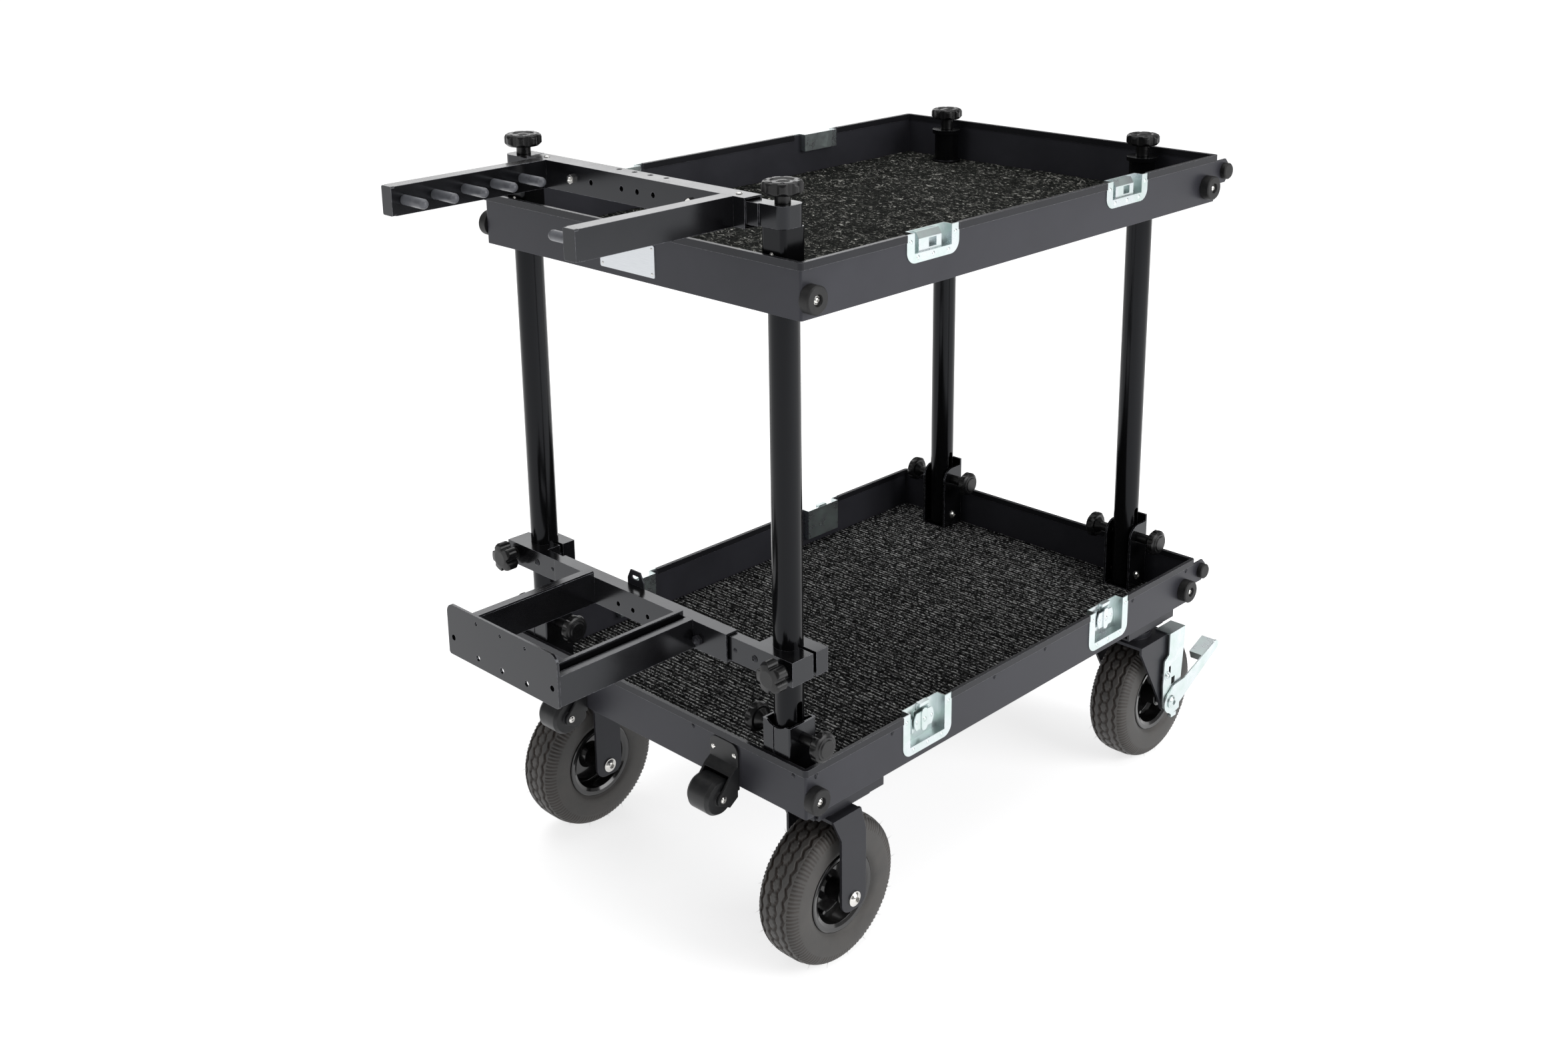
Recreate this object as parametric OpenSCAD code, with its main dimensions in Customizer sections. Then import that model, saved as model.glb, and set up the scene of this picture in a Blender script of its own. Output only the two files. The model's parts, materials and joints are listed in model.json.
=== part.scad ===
// Two-tier folding equipment cart: lift-off upper deck, sliding lower bracket, braked casters.
// Millimetres. X runs along the decks, Y across them, Z is up from the floor.
// Sizes below are laid out about the middle of the decks; place() moves the whole cart so that
// the middle of its overall length is at X = 0.

/* [Decks] */

// Length of each deck over its rim
deck_l = 1112; // [1000:1:1350]
// Width of each deck over its rim
deck_w = 750; // [700:1:900]
// Height of each deck from its underside to the top of its rim
deck_h = 87; // [84:1:120]
// Rise from the lower deck's underside to the upper deck's underside
deck_rise = 806; // [720:1:1000]
// Thickness of the deck walls
wall_t = 3; // [2:0.5:4]
// Thickness of the deck floors
floor_t = 4; // [3:0.5:6]
// Thickness of the carpets
carpet_t = 5; // [3:0.5:8]
// Height of the edging along the top of the walls
rim_h = 12; // [8:0.5:16]
// How far the edging stands out of the walls
rim_out = 3; // [1.5:0.5:5]
// How far the edging stands in from the walls
rim_in = 1; // [0.5:0.5:3]
// Thickness of the edging over the top of the walls
rim_cap_t = 1.5; // [1:0.5:3]
// Corner radius of the walls
corner_r = 4; // [3.5:0.5:12]
// How far the end ears reach past the walls
ear_reach = 45; // [25:1:55]
// Height of the end ears
ear_h = 44; // [30:1:46]

/* [Latches] */

// Distance of each dish from the middle of the deck
dish_x = 262; // [180:1:330]
// Width of every dish
dish_w = 124; // [110:1:150]
// How far a catch dish reaches down from the rim
catch_drop = 47; // [40:1:60]
// How far a latch dish reaches down from the rim
latch_drop = 77; // [70:1:80]
// Sheet thickness of the dishes
dish_t = 1.6; // [1:0.1:2]
// Corner radius at the bottom of the dishes
dish_r = 20; // [10:1:24]
// Width of the pocket in a dish
pocket_w = 88; // [80:1:94]
// Depth of the pocket behind the wall's outer face
pocket_d = 15; // [14:0.5:20]
// Height of the flange under the pocket
flange_h = 15; // [12:1:18]
// Radius of a latch's pivot pin
latch_pin_r = 4; // [3:0.25:5]
// Travel of a latch hook
hook_travel = 8; // [4:1:10]

/* [Posts] */

// Diameter of the posts
post_d = 48; // [40:1:50]
// Wall thickness of the posts
post_wall = 3; // [2:0.5:5]
// Distance of the front posts from the wall's outer face
front_post_in = 35; // [34:1:60]
// Distance of the front posts from the centreline
front_post_y = 303.5; // [270:0.5:320]
// Distance of the rear posts from the wall's outer face
rear_post_in = 38; // [38:1:80]
// Distance of the rear posts from the centreline
rear_post_y = 237; // [200:0.5:280]
// Height of a post's foot above the lower deck's floor
foot_gap = 10; // [6:1:20]
// Height of the pivot bolts above the lower deck's floor
pivot_h = 29; // [26:1:40]
// Height of the side knobs above the lower deck's floor
side_knob_h = 111; // [110:1:115]
// Length of the slot that a post has for its side-knob bolt
post_slot_l = 54; // [40:1:100]
// Height of the front foot brackets
front_foot_h = 137; // [130:1:150]
// Height of the rear foot brackets
rear_foot_h = 151; // [140:1:170]
// Sheet thickness of the foot brackets
foot_t = 4; // [3:0.5:6]
// Radius of the side-knob bolts
side_bolt_r = 6; // [5:0.5:7]
// Radius of the pivot bolts
pivot_r = 5; // [4:0.5:6]
// Radius of the top knobs' studs
stud_r = 6; // [5:0.5:8]
// Depth of the threaded plug in the top of a post
plug_h = 40; // [25:1:60]
// Radial clearance of a running fit
fit = 0.08; // [0.04:0.01:0.10]
// Gap between flat faces that move on each other
gap = 0.3; // [0.2:0.05:0.5]

/* [Knobs] */

// Diameter of the top knobs
top_knob_d = 62.5; // [50:0.5:70]
// Height of a top knob's head
top_knob_h = 20; // [14:1:26]
// Diameter of a top knob's stem
stem_d = 24; // [18:1:30]
// Length of a front top knob's stem
front_stem_l = 14; // [8:1:24]
// Length of a rear top knob's stem
rear_stem_l = 22; // [12:1:34]
// Diameter of the side knobs
side_knob_d = 52; // [44:1:56]
// Thickness of a side knob's disc
side_knob_t = 20; // [18:1:24]
// Length of the neck between a foot bracket and a side knob
side_neck_l = 33; // [20:1:34]
// Diameter of the star knobs
star_d = 54; // [44:1:58]
// Thickness of a star knob
star_t = 24; // [16:1:30]

/* [Upper bracket] */

// Height of the front socket blocks above the upper deck's underside
block_h = 124; // [118:1:150]
// Height of the rear collars above the upper deck's underside
collar_h = 66; // [50:1:74]
// Corner radius of the front socket blocks
block_r = 8; // [3:0.5:12]
// Half length of the bracket's main bar
bar_half = 255; // [245:1:258]
// Width of the main bar along X
bar_x = 36; // [32:1:40]
// Height of the main bar
bar_z = 46; // [44:1:56]
// Wall thickness of the main bar
bar_wall = 3; // [2:0.5:3.5]
// Height of the clamped ends of the bar
end_z = 35; // [28:1:36]
// Distance from the wall's outer face to the end of the arms
arm_reach = 290; // [200:1:340]
// Width of an arm
arm_w = 26; // [20:1:34]
// Outer faces of the arms from the centreline
arm_y = 232; // [180:1:236]
// Wall thickness of the arms
arm_wall = 2.5; // [2:0.5:4]
// Length of the caps in the ends of the arms
cap_l = 6; // [4:1:12]
// Distance between the accessory holes in both brackets' bars
hole_step = 37; // [30:0.5:40]
// Number of pegs on each arm
peg_n = 5; // [3:1:5]
// Distance between pegs
peg_step = 55.7; // [40:0.1:58]
// Distance of the last peg from the arm's end
peg_end = 23; // [16:1:40]
// Diameter of a peg
peg_d = 16; // [10:1:24]
// Length of a peg with its round end
peg_l = 57; // [30:1:80]

/* [Lower bracket] */

// Height of the lower bracket's underside above the lower deck's underside
low_h = 222; // [200:1:260]
// Half length of the lower bracket's main bar
low_half = 215; // [180:1:240]
// Width of the lower main bar along X
low_x = 25; // [22:1:30]
// Height of the lower main bar
low_z = 48; // [44:1:56]
// Wall thickness of the lower main bar
low_wall = 3; // [2:0.5:4]
// Length of a clamp along Y
clamp_y = 89; // [86:1:96]
// Height of a clamp and of the bars that carry it
clamp_z = 41; // [36:1:42]
// Reach of a clamp's jaws past the middle of the post
jaw_x = 36; // [34:1:42]
// Gap between a clamp's jaws
jaw_gap = 7; // [4:1:10]
// Radius of the clamp bolts
clamp_bolt_r = 4; // [3:0.5:4]
// Distance of the star knobs from the post's middle
star_off = 30; // [29.5:0.5:34]
// Outer faces of the lower arms from the centreline
low_arm_y = 139; // [110:1:160]
// Width of a lower arm
low_arm_w = 32; // [26:1:40]
// Length of the lower arms
low_arm_l = 270; // [180:1:300]
// Thickness of the end plate
end_t = 4.5; // [3:0.5:6]
// Height of the end plate
end_h = 88; // [80:1:110]
// Distance between the holes in each row of the end plate
plate_step = 62; // [40:1:62]

/* [Casters] */

// Diameter of the wheels
wheel_d = 260; // [220:1:280]
// Width of the tyres
tyre_w = 82; // [70:1:90]
// Radius of the rim's lip
rim_r = 70; // [60:1:80]
// Radius of the axles
axle_r = 8; // [6:0.5:10]
// Distance of the front wheels from the wall's outer face
front_wheel_in = 113; // [100:1:160]
// Distance of the swivel axes from the wall's outer face
swivel_in = 115; // [100:1:160]
// Distance from a swivel axis to its axle
trail = 46; // [36:1:56]
// Distance of the wheels from the centreline
wheel_y = 308; // [260:1:310]
// Gap between a tyre's top and the fork's crown
tyre_gap = 10; // [8:1:30]
// Thickness of the fork crowns
crown_t = 6; // [5:0.5:10]
// Height of the swivel race
race_h = 15; // [12:1:24]
// Thickness of the caster plates
plate_t = 5; // [4:0.5:8]
// Height of the rails under the lower deck
rail_h = 29; // [20:1:40]
// Length of the rails under the lower deck
rail_l = 155; // [120:1:170]
// Width of the rails under the lower deck
rail_w = 96; // [80:1:110]
// Gap between a tyre's side and a fork leg
leg_gap = 16; // [12:1:24]
// Thickness of a fork leg
leg_t = 5; // [4:0.5:8]
// Width of a front fork leg
leg_w = 58; // [44:1:64]
// Reach of a brake lever past its axle
lever_reach = 169; // [150:1:180]

/* [Small parts] */

// Diameter of the bumpers
bumper_d = 44; // [30:1:50]
// Thickness of the bumpers
bumper_t = 18; // [10:1:20]
// Distance of the front rollers from the centreline
roller_y = 192; // [140:1:240]
// Diameter of the front rollers
roller_d = 62; // [50:1:66]
// Width of the front rollers
roller_w = 50; // [40:1:56]
// Distance of a roller's axle from the wall's outer face
roller_out = 36; // [35:1:50]
// Height of a roller's axle below the lower deck's underside
roller_drop = 9; // [6:1:30]

/* [Hidden] */

$fn = 48;

// Corner signs: 1 front right, 2 front left, 3 rear right, 4 rear left (seen from the front).
side = [0, -1, 1, -1, 1];
end = [0, -1, -1, 1, 1];

// Walls
wall_x = deck_l / 2 - rim_out;
wall_y = deck_w / 2 - rim_out;

// Heights, from the floor up
axle_z = wheel_d / 2;
crown_z = wheel_d + tyre_gap;
plate_z = crown_z + crown_t + race_h;
rail_z = plate_z + plate_t;
lower_z = rail_z + rail_h;
lower_floor = lower_z + floor_t;
lower_top = lower_z + deck_h;
upper_z = lower_z + deck_rise;
upper_floor = upper_z + floor_t;
upper_top = upper_z + deck_h;
side_knob_z = lower_floor + side_knob_h;
pivot_z = lower_floor + pivot_h;
block_top = upper_z + block_h;
collar_top = upper_z + collar_h;
disc_h = 8;

// Places along X
front_post_x = -(wall_x - front_post_in);
rear_post_x = wall_x - rear_post_in;
front_wheel_x = -(wall_x - front_wheel_in);
swivel_x = wall_x - swivel_in;
rear_wheel_x = swivel_x + trail;
lever_tip_r = 10;
x_max = rear_wheel_x + lever_reach;
x_min = -(wall_x + arm_reach);
x_off = -(x_max + x_min) / 2;

// Posts and their brackets
post_r = post_d / 2;
foot_in = post_r + 2;
foot_out = foot_in + foot_t;
foot_z = lower_floor + foot_gap;
slot_w = 2 * side_bolt_r + 1;

// Upper bracket
bar_x0 = front_post_x - 30;
bar_z0 = block_top - (bar_z - end_z) / 2 - 1.5;
arm_x0 = -(wall_x + arm_reach);
peg_z = bar_z0 + bar_z / 2;

// Lower bracket
low_z0 = lower_z + low_h;
low_x0 = front_post_x - 49;
clamp_z0 = low_z0 + low_wall;
clamp_mid = clamp_z0 + clamp_z / 2;
jaw_front = front_post_x - 24 - (jaw_x - 34) / 2;

// Casters
leg_in = tyre_w / 2 + leg_gap;
leg_out = leg_in + leg_t;
bracket_in = leg_out + 5;
bracket_out = bracket_in + 3;
lever_in = bracket_out + 1;
lever_out = lever_in + 3;

module place() {
    translate([x_off, 0, 0]) children();
}

// A box from two corners.
module block(a, b) {
    translate(a) cube(b - a);
}

// Rods along X, Y and Z between two stations.
module rod_x(x0, x1, y, z, r) {
    translate([x0, y, z]) rotate([0, 90, 0]) cylinder(h = x1 - x0, r = r);
}

module rod_y(y0, y1, x, z, r) {
    translate([x, y1, z]) rotate([90, 0, 0]) cylinder(h = y1 - y0, r = r);
}

module rod_z(z0, z1, x, y, r) {
    translate([x, y, z0]) cylinder(h = z1 - z0, r = r);
}

// A rectangle with round corners, centred.
module round_rect(l, w, r) {
    square([l - 2 * r, w], center = true);
    square([l, w - 2 * r], center = true);
    for (i = [-1, 1]) {
        for (j = [-1, 1]) {
            translate([i * (l / 2 - r), j * (w / 2 - r)]) circle(r = r);
        }
    }
}

module round_prism(l, w, r, h) {
    linear_extrude(height = h) round_rect(l, w, r);
}

// A low domed head standing on z = 0.
module dome(r, h) {
    big = (r * r + h * h) / (2 * h);
    rotate_extrude() {
        intersection() {
            translate([0, h - big]) circle(r = big, $fn = 96);
            square([r, h]);
        }
    }
}

// A button-head bolt standing on z = 0, with a hexagon socket.
module button(r, h) {
    difference() {
        union() {
            dome(r, h);
            cylinder(h = h * 0.3, r = r);
        }
        translate([0, 0, h * 0.45]) cylinder(h = h, r = r * 0.42, $fn = 6);
    }
}

// Children stand on the outer face of a side wall: local x along the deck, z outwards.
module on_side(s, x, z, out) {
    translate([x, s * (wall_y + out), z]) rotate([s < 0 ? 90 : -90, 0, 0]) children();
}

// Children stand on the front wall's outer face.
module on_front(y, z, out) {
    translate([-(wall_x + out), y, z]) rotate([0, -90, 0]) children();
}

// Children are repeated at the four dishes: local x along the deck, y outwards from the
// wall's outer face, z is height.
module at_dish(s, d) {
    translate([d * dish_x, 0, 0]) mirror([0, s < 0 ? 1 : 0, 0]) translate([0, wall_y, 0]) children();
}

module at_dishes() {
    for (s = [-1, 1]) {
        for (d = [-1, 1]) {
            at_dish(s, d) children();
        }
    }
}

// The volume of a deck's walls between two heights.
module wall_ring(z0, z1) {
    difference() {
        translate([0, 0, z0]) round_prism(2 * wall_x, 2 * wall_y, corner_r, z1 - z0);
        translate([0, 0, z0 - 1]) {
            round_prism(2 * (wall_x - wall_t), 2 * (wall_y - wall_t), corner_r - wall_t + 0.5, z1 - z0 + 2);
        }
    }
}

// A pocket's opening through a wall, from the pocket's underside up.
module pocket_cut(z0, z1) {
    half = pocket_w / 2 + dish_t;
    block([-half, -wall_t - 1, z0], [half, 1, z1]);
}

module ear(s, z1) {
    c = 11;
    translate([0, s > 0 ? wall_y : -wall_y + wall_t, 0]) rotate([90, 0, 0]) {
        linear_extrude(height = wall_t) {
            polygon([
                [wall_x - 12, z1 - ear_h],
                [wall_x + ear_reach - c, z1 - ear_h],
                [wall_x + ear_reach, z1 - ear_h + c],
                [wall_x + ear_reach, z1 - c],
                [wall_x + ear_reach - c, z1],
                [wall_x - 12, z1]
            ]);
        }
    }
}

module tray_shell(z0, drop) {
    z1 = z0 + deck_h - rim_cap_t;
    difference() {
        union() {
            wall_ring(z0, z1);
            translate([0, 0, z0]) round_prism(2 * wall_x, 2 * wall_y, corner_r, floor_t);
            for (s = [-1, 1]) {
                ear(s, z0 + deck_h - rim_h);
            }
        }
        at_dishes() pocket_cut(z0 + deck_h - drop + flange_h - dish_t, z1 + 1);
    }
}

module tray_rim(z0) {
    z1 = z0 + deck_h;
    inner_l = 2 * (wall_x - wall_t - rim_in);
    inner_w = 2 * (wall_y - wall_t - rim_in);
    difference() {
        translate([0, 0, z1 - rim_h]) round_prism(deck_l, deck_w, corner_r + rim_out, rim_h);
        translate([0, 0, z1 - rim_h - 1]) round_prism(inner_l, inner_w, 1, rim_h + 2);
        wall_ring(z1 - rim_h - 1, z1 - rim_cap_t);
        at_dishes() {
            block([-dish_w / 2, -wall_t - rim_in - 1, z1 - rim_h - 1], [dish_w / 2, rim_out + 1, z1 + 1]);
        }
    }
}

module rear_pair() {
    for (s = [-1, 1]) {
        translate([rear_post_x, s * rear_post_y, 0]) children();
    }
}

module front_pair() {
    for (s = [-1, 1]) {
        translate([front_post_x, s * front_post_y, 0]) children();
    }
}

// ---- lower deck ----

module lower_tray() {
    color([0.2, 0.2, 0.21]) place() tray_shell(lower_z, latch_drop);
}

module lower_rim() {
    color([0.1, 0.1, 0.1]) place() tray_rim(lower_z);
}

module carpet(z0) {
    translate([0, 0, z0]) {
        round_prism(2 * (wall_x - wall_t) - 1, 2 * (wall_y - wall_t) - 1, 1, carpet_t);
    }
}

module lower_carpet() {
    cut = 2 * foot_out + 1;
    color([0.24, 0.24, 0.24]) place() difference() {
        carpet(lower_floor);
        front_pair() translate([0, 0, lower_floor + carpet_t / 2]) cube([cut, cut, carpet_t + 1], center = true);
        rear_pair() translate([0, 0, lower_floor + carpet_t / 2]) cube([cut, cut, carpet_t + 1], center = true);
    }
}

// One rail assembly: an open channel, a caster plate under it and a stop at its outer end.
module rail(s, xc, outer) {
    y0 = wheel_y - rail_w / 2;
    lip = 20;
    stop_x = outer > 0 ? xc + rail_l / 2 : xc - rail_l / 2 - 6;
    mirror([0, s < 0 ? 1 : 0, 0]) {
        difference() {
            block([xc - rail_l / 2, y0, rail_z], [xc + rail_l / 2, y0 + rail_w, lower_z]);
            block([xc - rail_l, y0 + 4, rail_z + 4], [xc + rail_l, y0 + rail_w - 4, lower_z - 4]);
            block([xc - rail_l, y0 + lip, rail_z - 1], [xc + rail_l, y0 + rail_w - lip, rail_z + 5]);
        }
        translate([xc, wheel_y, plate_z]) round_prism(104, rail_w - 8, 6, plate_t);
        block([stop_x, y0 + rail_w - 36, rail_z + 1], [stop_x + 6, y0 + rail_w - 6, rail_z + 16]);
        // a front fork's crown covers the heads at its outer end
        for (i = outer > 0 ? [-1, 1] : [1]) {
            for (j = [-1, 1]) {
                translate([xc + i * 42, wheel_y + j * 34, plate_z - 4]) cylinder(h = 4, r = 6, $fn = 6);
            }
        }
    }
}

module deck_rails() {
    color([0.16, 0.16, 0.16]) place() {
        for (s = [-1, 1]) {
            rail(s, front_wheel_x + 10, -1);
            rail(s, swivel_x, 1);
        }
    }
}

// Four walls round a front post, open at the top, with a split in the front wall.
module front_foot() {
    h = front_foot_h;
    difference() {
        translate([0, 0, lower_floor]) round_prism(2 * foot_out, 2 * foot_out, 3, h);
        translate([0, 0, lower_floor + 4]) round_prism(2 * foot_in, 2 * foot_in, 1.5, h);
        translate([0, 0, lower_floor + h + 22]) rotate([0, 90, 0]) cylinder(h = 80, r = 30, center = true);
        block([-foot_out - 1, 4, lower_floor + 30], [-foot_in + 1, 6.5, lower_floor + h + 1]);
        rod_y(-foot_out - 1, foot_out + 1, 0, side_knob_z, side_bolt_r + fit);
        rod_y(-foot_out - 1, foot_out + 1, 0, pivot_z, pivot_r);
    }
}

// A back wall and two cheeks with round tops, open towards the front.
module rear_foot() {
    cheek = rear_foot_h - 14;
    difference() {
        union() {
            block([foot_in, -foot_out, lower_floor], [foot_out, foot_out, lower_floor + rear_foot_h]);
            block([-foot_in, -foot_out, lower_floor], [foot_in, foot_out, lower_floor + 4]);
            for (s = [-1, 1]) {
                translate([0, s * (foot_in + foot_t / 2), 0]) rotate([90, 0, 0]) {
                    linear_extrude(height = foot_t, center = true) {
                        translate([-foot_in, lower_floor]) square([2 * foot_in, cheek - foot_in]);
                        translate([0, lower_floor + cheek - foot_in]) circle(r = foot_in);
                        translate([0, lower_floor]) square([foot_in, cheek]);
                    }
                }
            }
        }
        rod_y(-foot_out - 1, foot_out + 1, 0, side_knob_z, side_bolt_r + fit);
        rod_y(-foot_out - 1, foot_out + 1, 0, pivot_z, pivot_r);
    }
}

module post_brackets() {
    color([0.12, 0.12, 0.13]) place() {
        front_pair() front_foot();
        rear_pair() rear_foot();
    }
}

// A tube with a slot for the side-knob bolt, a pivot hole and a threaded plug in its top.
module post() {
    slot_z1 = side_knob_z + post_slot_l;
    difference() {
        union() {
            difference() {
                rod_z(foot_z, upper_z - gap, 0, 0, post_r);
                rod_z(foot_z - 1, upper_z, 0, 0, post_r - post_wall);
            }
            rod_z(upper_z - gap - plug_h, upper_z - gap, 0, 0, post_r - post_wall);
        }
        block([-slot_w / 2, -post_r - 1, side_knob_z], [slot_w / 2, post_r + 1, slot_z1]);
        rod_y(-post_r - 1, post_r + 1, 0, side_knob_z, slot_w / 2);
        rod_y(-post_r - 1, post_r + 1, 0, slot_z1, slot_w / 2);
        rod_y(-post_r - 1, post_r + 1, 0, pivot_z, pivot_r);
        rod_z(upper_z - plug_h - 2, upper_z + 1, 0, 0, stud_r + fit);
    }
}

module posts() {
    color([0.05, 0.05, 0.06]) place() {
        front_pair() post();
        rear_pair() post();
    }
}

// ---- dishes and latches: local x along the wall, y outwards, z height ----

// Flange and pocket of one dish; z1 is the rim top and drop the flange's reach below it.
module dish(z1, drop) {
    half = pocket_w / 2;
    z0 = z1 - drop;
    zp = z0 + flange_h;
    difference() {
        union() {
            difference() {
                rotate([90, 0, 0]) translate([0, 0, -dish_t]) linear_extrude(height = dish_t) {
                    translate([-dish_w / 2 + dish_r, z0]) square([dish_w - 2 * dish_r, drop]);
                    translate([-dish_w / 2, z0 + dish_r]) square([dish_w, drop - dish_r]);
                    translate([-dish_w / 2 + dish_r, z0 + dish_r]) circle(r = dish_r);
                    translate([dish_w / 2 - dish_r, z0 + dish_r]) circle(r = dish_r);
                }
            }
            block([-half - dish_t, -pocket_d - dish_t, zp - dish_t], [half + dish_t, 0, z1]);
        }
        block([-half, -pocket_d, zp], [half, dish_t + 1, z1 + 1]);
    }
}

// Heads of the rivets round a dish.
module dish_rivets(z1, drop) {
    low = z1 - drop + 8;
    for (p = [[-53, z1 - 13], [53, z1 - 13], [-36, low], [0, low], [36, low]]) {
        translate([p[0], dish_t, p[1]]) rotate([-90, 0, 0]) dome(3.6, 1.6);
    }
}

module latch_dishes() {
    pin = latch_pin_r - 1.5;
    color([0.75, 0.78, 0.78]) place() at_dishes() {
        dish(lower_top, latch_drop);
        dish_rivets(lower_top, latch_drop);
        // guides for the hook on the back of the pocket
        block([-26, -pocket_d, latch_z() - 20], [-20, -pocket_d + 4, latch_z() + 6]);
        block([20, -pocket_d, latch_z() - 20], [26, -pocket_d + 4, latch_z() + 6]);
    }
}

function latch_z() = lower_top - 28.5;

// The wing turns in the dish on a pin through the pocket's back.
module wing(s, d) {
    color([0.8, 0.82, 0.82]) place() at_dish(s, d) translate([0, 0, latch_z()]) rotate([-90, 0, 0]) {
        translate([0, 0, -pocket_d + gap]) cylinder(h = pocket_d - 6, r = latch_pin_r);
        translate([0, 0, -8.2]) linear_extrude(height = 1.8) intersection() {
            circle(r = 25);
            square([60, 31], center = true);
        }
        translate([0, 0, -6.4]) linear_extrude(height = 1.6) {
            square([15, 26], center = true);
            translate([0, 13]) circle(r = 7.5);
            translate([0, -13]) circle(r = 7.5);
        }
        translate([0, 0, -4.8]) dome(4.5, 2);
        for (i = [-1, 1]) {
            translate([i * 19, 0, -6.4]) dome(3.2, 1.4);
        }
    }
}

// The hook slides up and down between its guides as the wing turns.
module hook(s, d) {
    z0 = latch_z();
    top = lower_top + 3;
    y0 = -pocket_d + gap;
    color([0.72, 0.75, 0.75]) place() at_dish(s, d) difference() {
        union() {
            block([-20 + gap, y0, z0 - 18], [20 - gap, y0 + 2, z0 + 18]);
            block([-12, y0, z0 + 18], [12, y0 + 2, top]);
            block([-12, y0, top - 2.5], [12, y0 + 9, top]);
            block([-12, y0 + 7, top - 6], [12, y0 + 9, top - 2.5]);
        }
        translate([0, y0 - 1, 0]) rotate([-90, 0, 0]) translate([0, 0, 0]) linear_extrude(height = 5) {
            r = latch_pin_r + 0.5;
            translate([-r, -z0]) square([2 * r, hook_travel]);
            translate([0, -z0]) circle(r = r);
            translate([0, -z0 + hook_travel]) circle(r = r);
        }
    }
}

module catch_dishes() {
    zp = upper_top - catch_drop + flange_h;
    color([0.75, 0.78, 0.78]) place() at_dishes() {
        dish(upper_top, catch_drop);
        dish_rivets(upper_top, catch_drop);
        // the keeper that a hook would pull on, with its window
        difference() {
            translate([-30, 0, 0]) rotate([90, 0, 90]) linear_extrude(height = 54) {
                polygon([
                    [-pocket_d, zp],
                    [-2.5, zp],
                    [-2.5, upper_top - 12],
                    [-9, upper_top - 2],
                    [-pocket_d, upper_top - 2]
                ]);
            }
            block([-6, -pocket_d + 2, zp + 4], [12, 1, upper_top - 14]);
        }
    }
}

// ---- small pieces on the walls ----

module tray_rivets() {
    z_low = lower_top - rim_h - 7;
    color([0.06, 0.06, 0.06]) place() {
        for (s = [-1, 1]) {
            for (x = [-349, -80, 66, 343]) {
                on_side(s, x, z_low, 0) dome(4, 1.8);
            }
            for (x = [-1, 1]) {
                on_side(s, x * (wall_x - 24), z_low, 0) dome(4.5, 2);
            }
            for (y = [116, 345]) {
                on_front(s * y, z_low, 0) dome(4, 1.8);
                translate([wall_x, s * y, z_low]) rotate([0, 90, 0]) dome(4, 1.8);
            }
        }
    }
}

module bumper() {
    difference() {
        union() {
            cylinder(h = bumper_t - 2, r = bumper_d / 2);
            translate([0, 0, bumper_t - 2]) cylinder(h = 2, r1 = bumper_d / 2, r2 = bumper_d / 2 - 2);
        }
        translate([0, 0, bumper_t - 5]) cylinder(h = 6, r1 = 8, r2 = 9.5);
    }
}

// Two bumpers on each side wall and a small one on each ear.
module bumpers(z0) {
    ear_z = z0 + deck_h - rim_h - ear_h / 2;
    for (s = [-1, 1]) {
        on_side(s, -(wall_x - 17), z0 + 31, 0) bumper();
        on_side(s, wall_x - 31, z0 + 31, 0) bumper();
        on_side(s, wall_x + ear_reach - 15, ear_z, 0) cylinder(h = 9, r = 15);
        on_side(s, wall_x + ear_reach - 15, ear_z, 9) cylinder(h = 2, r1 = 15, r2 = 13);
    }
}

module lower_bumpers() {
    color([0.05, 0.05, 0.05]) place() bumpers(lower_z);
}

module upper_bumpers() {
    color([0.05, 0.05, 0.05]) place() bumpers(upper_z);
}

// Button heads in the bumpers' recesses.
module bumper_screws(z0) {
    for (s = [-1, 1]) {
        on_side(s, -(wall_x - 17), z0 + 31, bumper_t - 5) button(6.5, 4);
        on_side(s, wall_x - 31, z0 + 31, bumper_t - 5) button(6.5, 4);
    }
}

module pivot_bolt() {
    rod_y(-foot_out, foot_out, 0, pivot_z, pivot_r);
    translate([0, -foot_out, pivot_z]) rotate([90, 0, 0]) button(9, 6);
    translate([0, foot_out, pivot_z]) rotate([-90, 0, 0]) button(9, 6);
}

module lower_fasteners() {
    color([0.78, 0.78, 0.76]) place() {
        bumper_screws(lower_z);
        front_pair() pivot_bolt();
        rear_pair() pivot_bolt();
        for (s = [-1, 1]) {
            // front axles
            rod_y(s * wheel_y - leg_out, s * wheel_y + leg_out, front_wheel_x, axle_z, axle_r);
            translate([front_wheel_x, s * wheel_y - leg_out, axle_z]) rotate([90, 0, 0]) button(13, 8);
            translate([front_wheel_x, s * wheel_y + leg_out, axle_z]) rotate([-90, 0, 0]) button(13, 8);
            // roller axles and the rivets over the rollers
            rod_y(s * roller_y - cheek_out(), s * roller_y + cheek_out(), roller_x(), roller_z(), 5);
            for (t = [-1, 1]) {
                translate([roller_x(), s * roller_y + t * cheek_out(), roller_z()]) {
                    rotate([-90 * t, 0, 0]) button(6, 3);
                }
                on_front(s * roller_y + t * 24, lower_z + 53, 4) dome(5, 2);
            }
        }
    }
}

// ---- front casters and rollers ----

// A fork leg of a front caster: straight below the knee, leaning forward above it.
module front_leg() {
    knee = crown_z - 22;
    top = plate_z;
    half = leg_w / 2;
    foot = axle_z - 20;
    rotate([90, 0, 0]) linear_extrude(height = leg_t, center = true) {
        polygon([
            [-half, foot + 20],
            [-half, knee],
            [-half - 20, top],
            [half - 12, top],
            [half, knee],
            [half, foot + 20],
            [half - 20, foot],
            [-half + 20, foot]
        ]);
        translate([-half + 20, foot + 20]) circle(r = 20);
        translate([half - 20, foot + 20]) circle(r = 20);
    }
}

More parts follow.
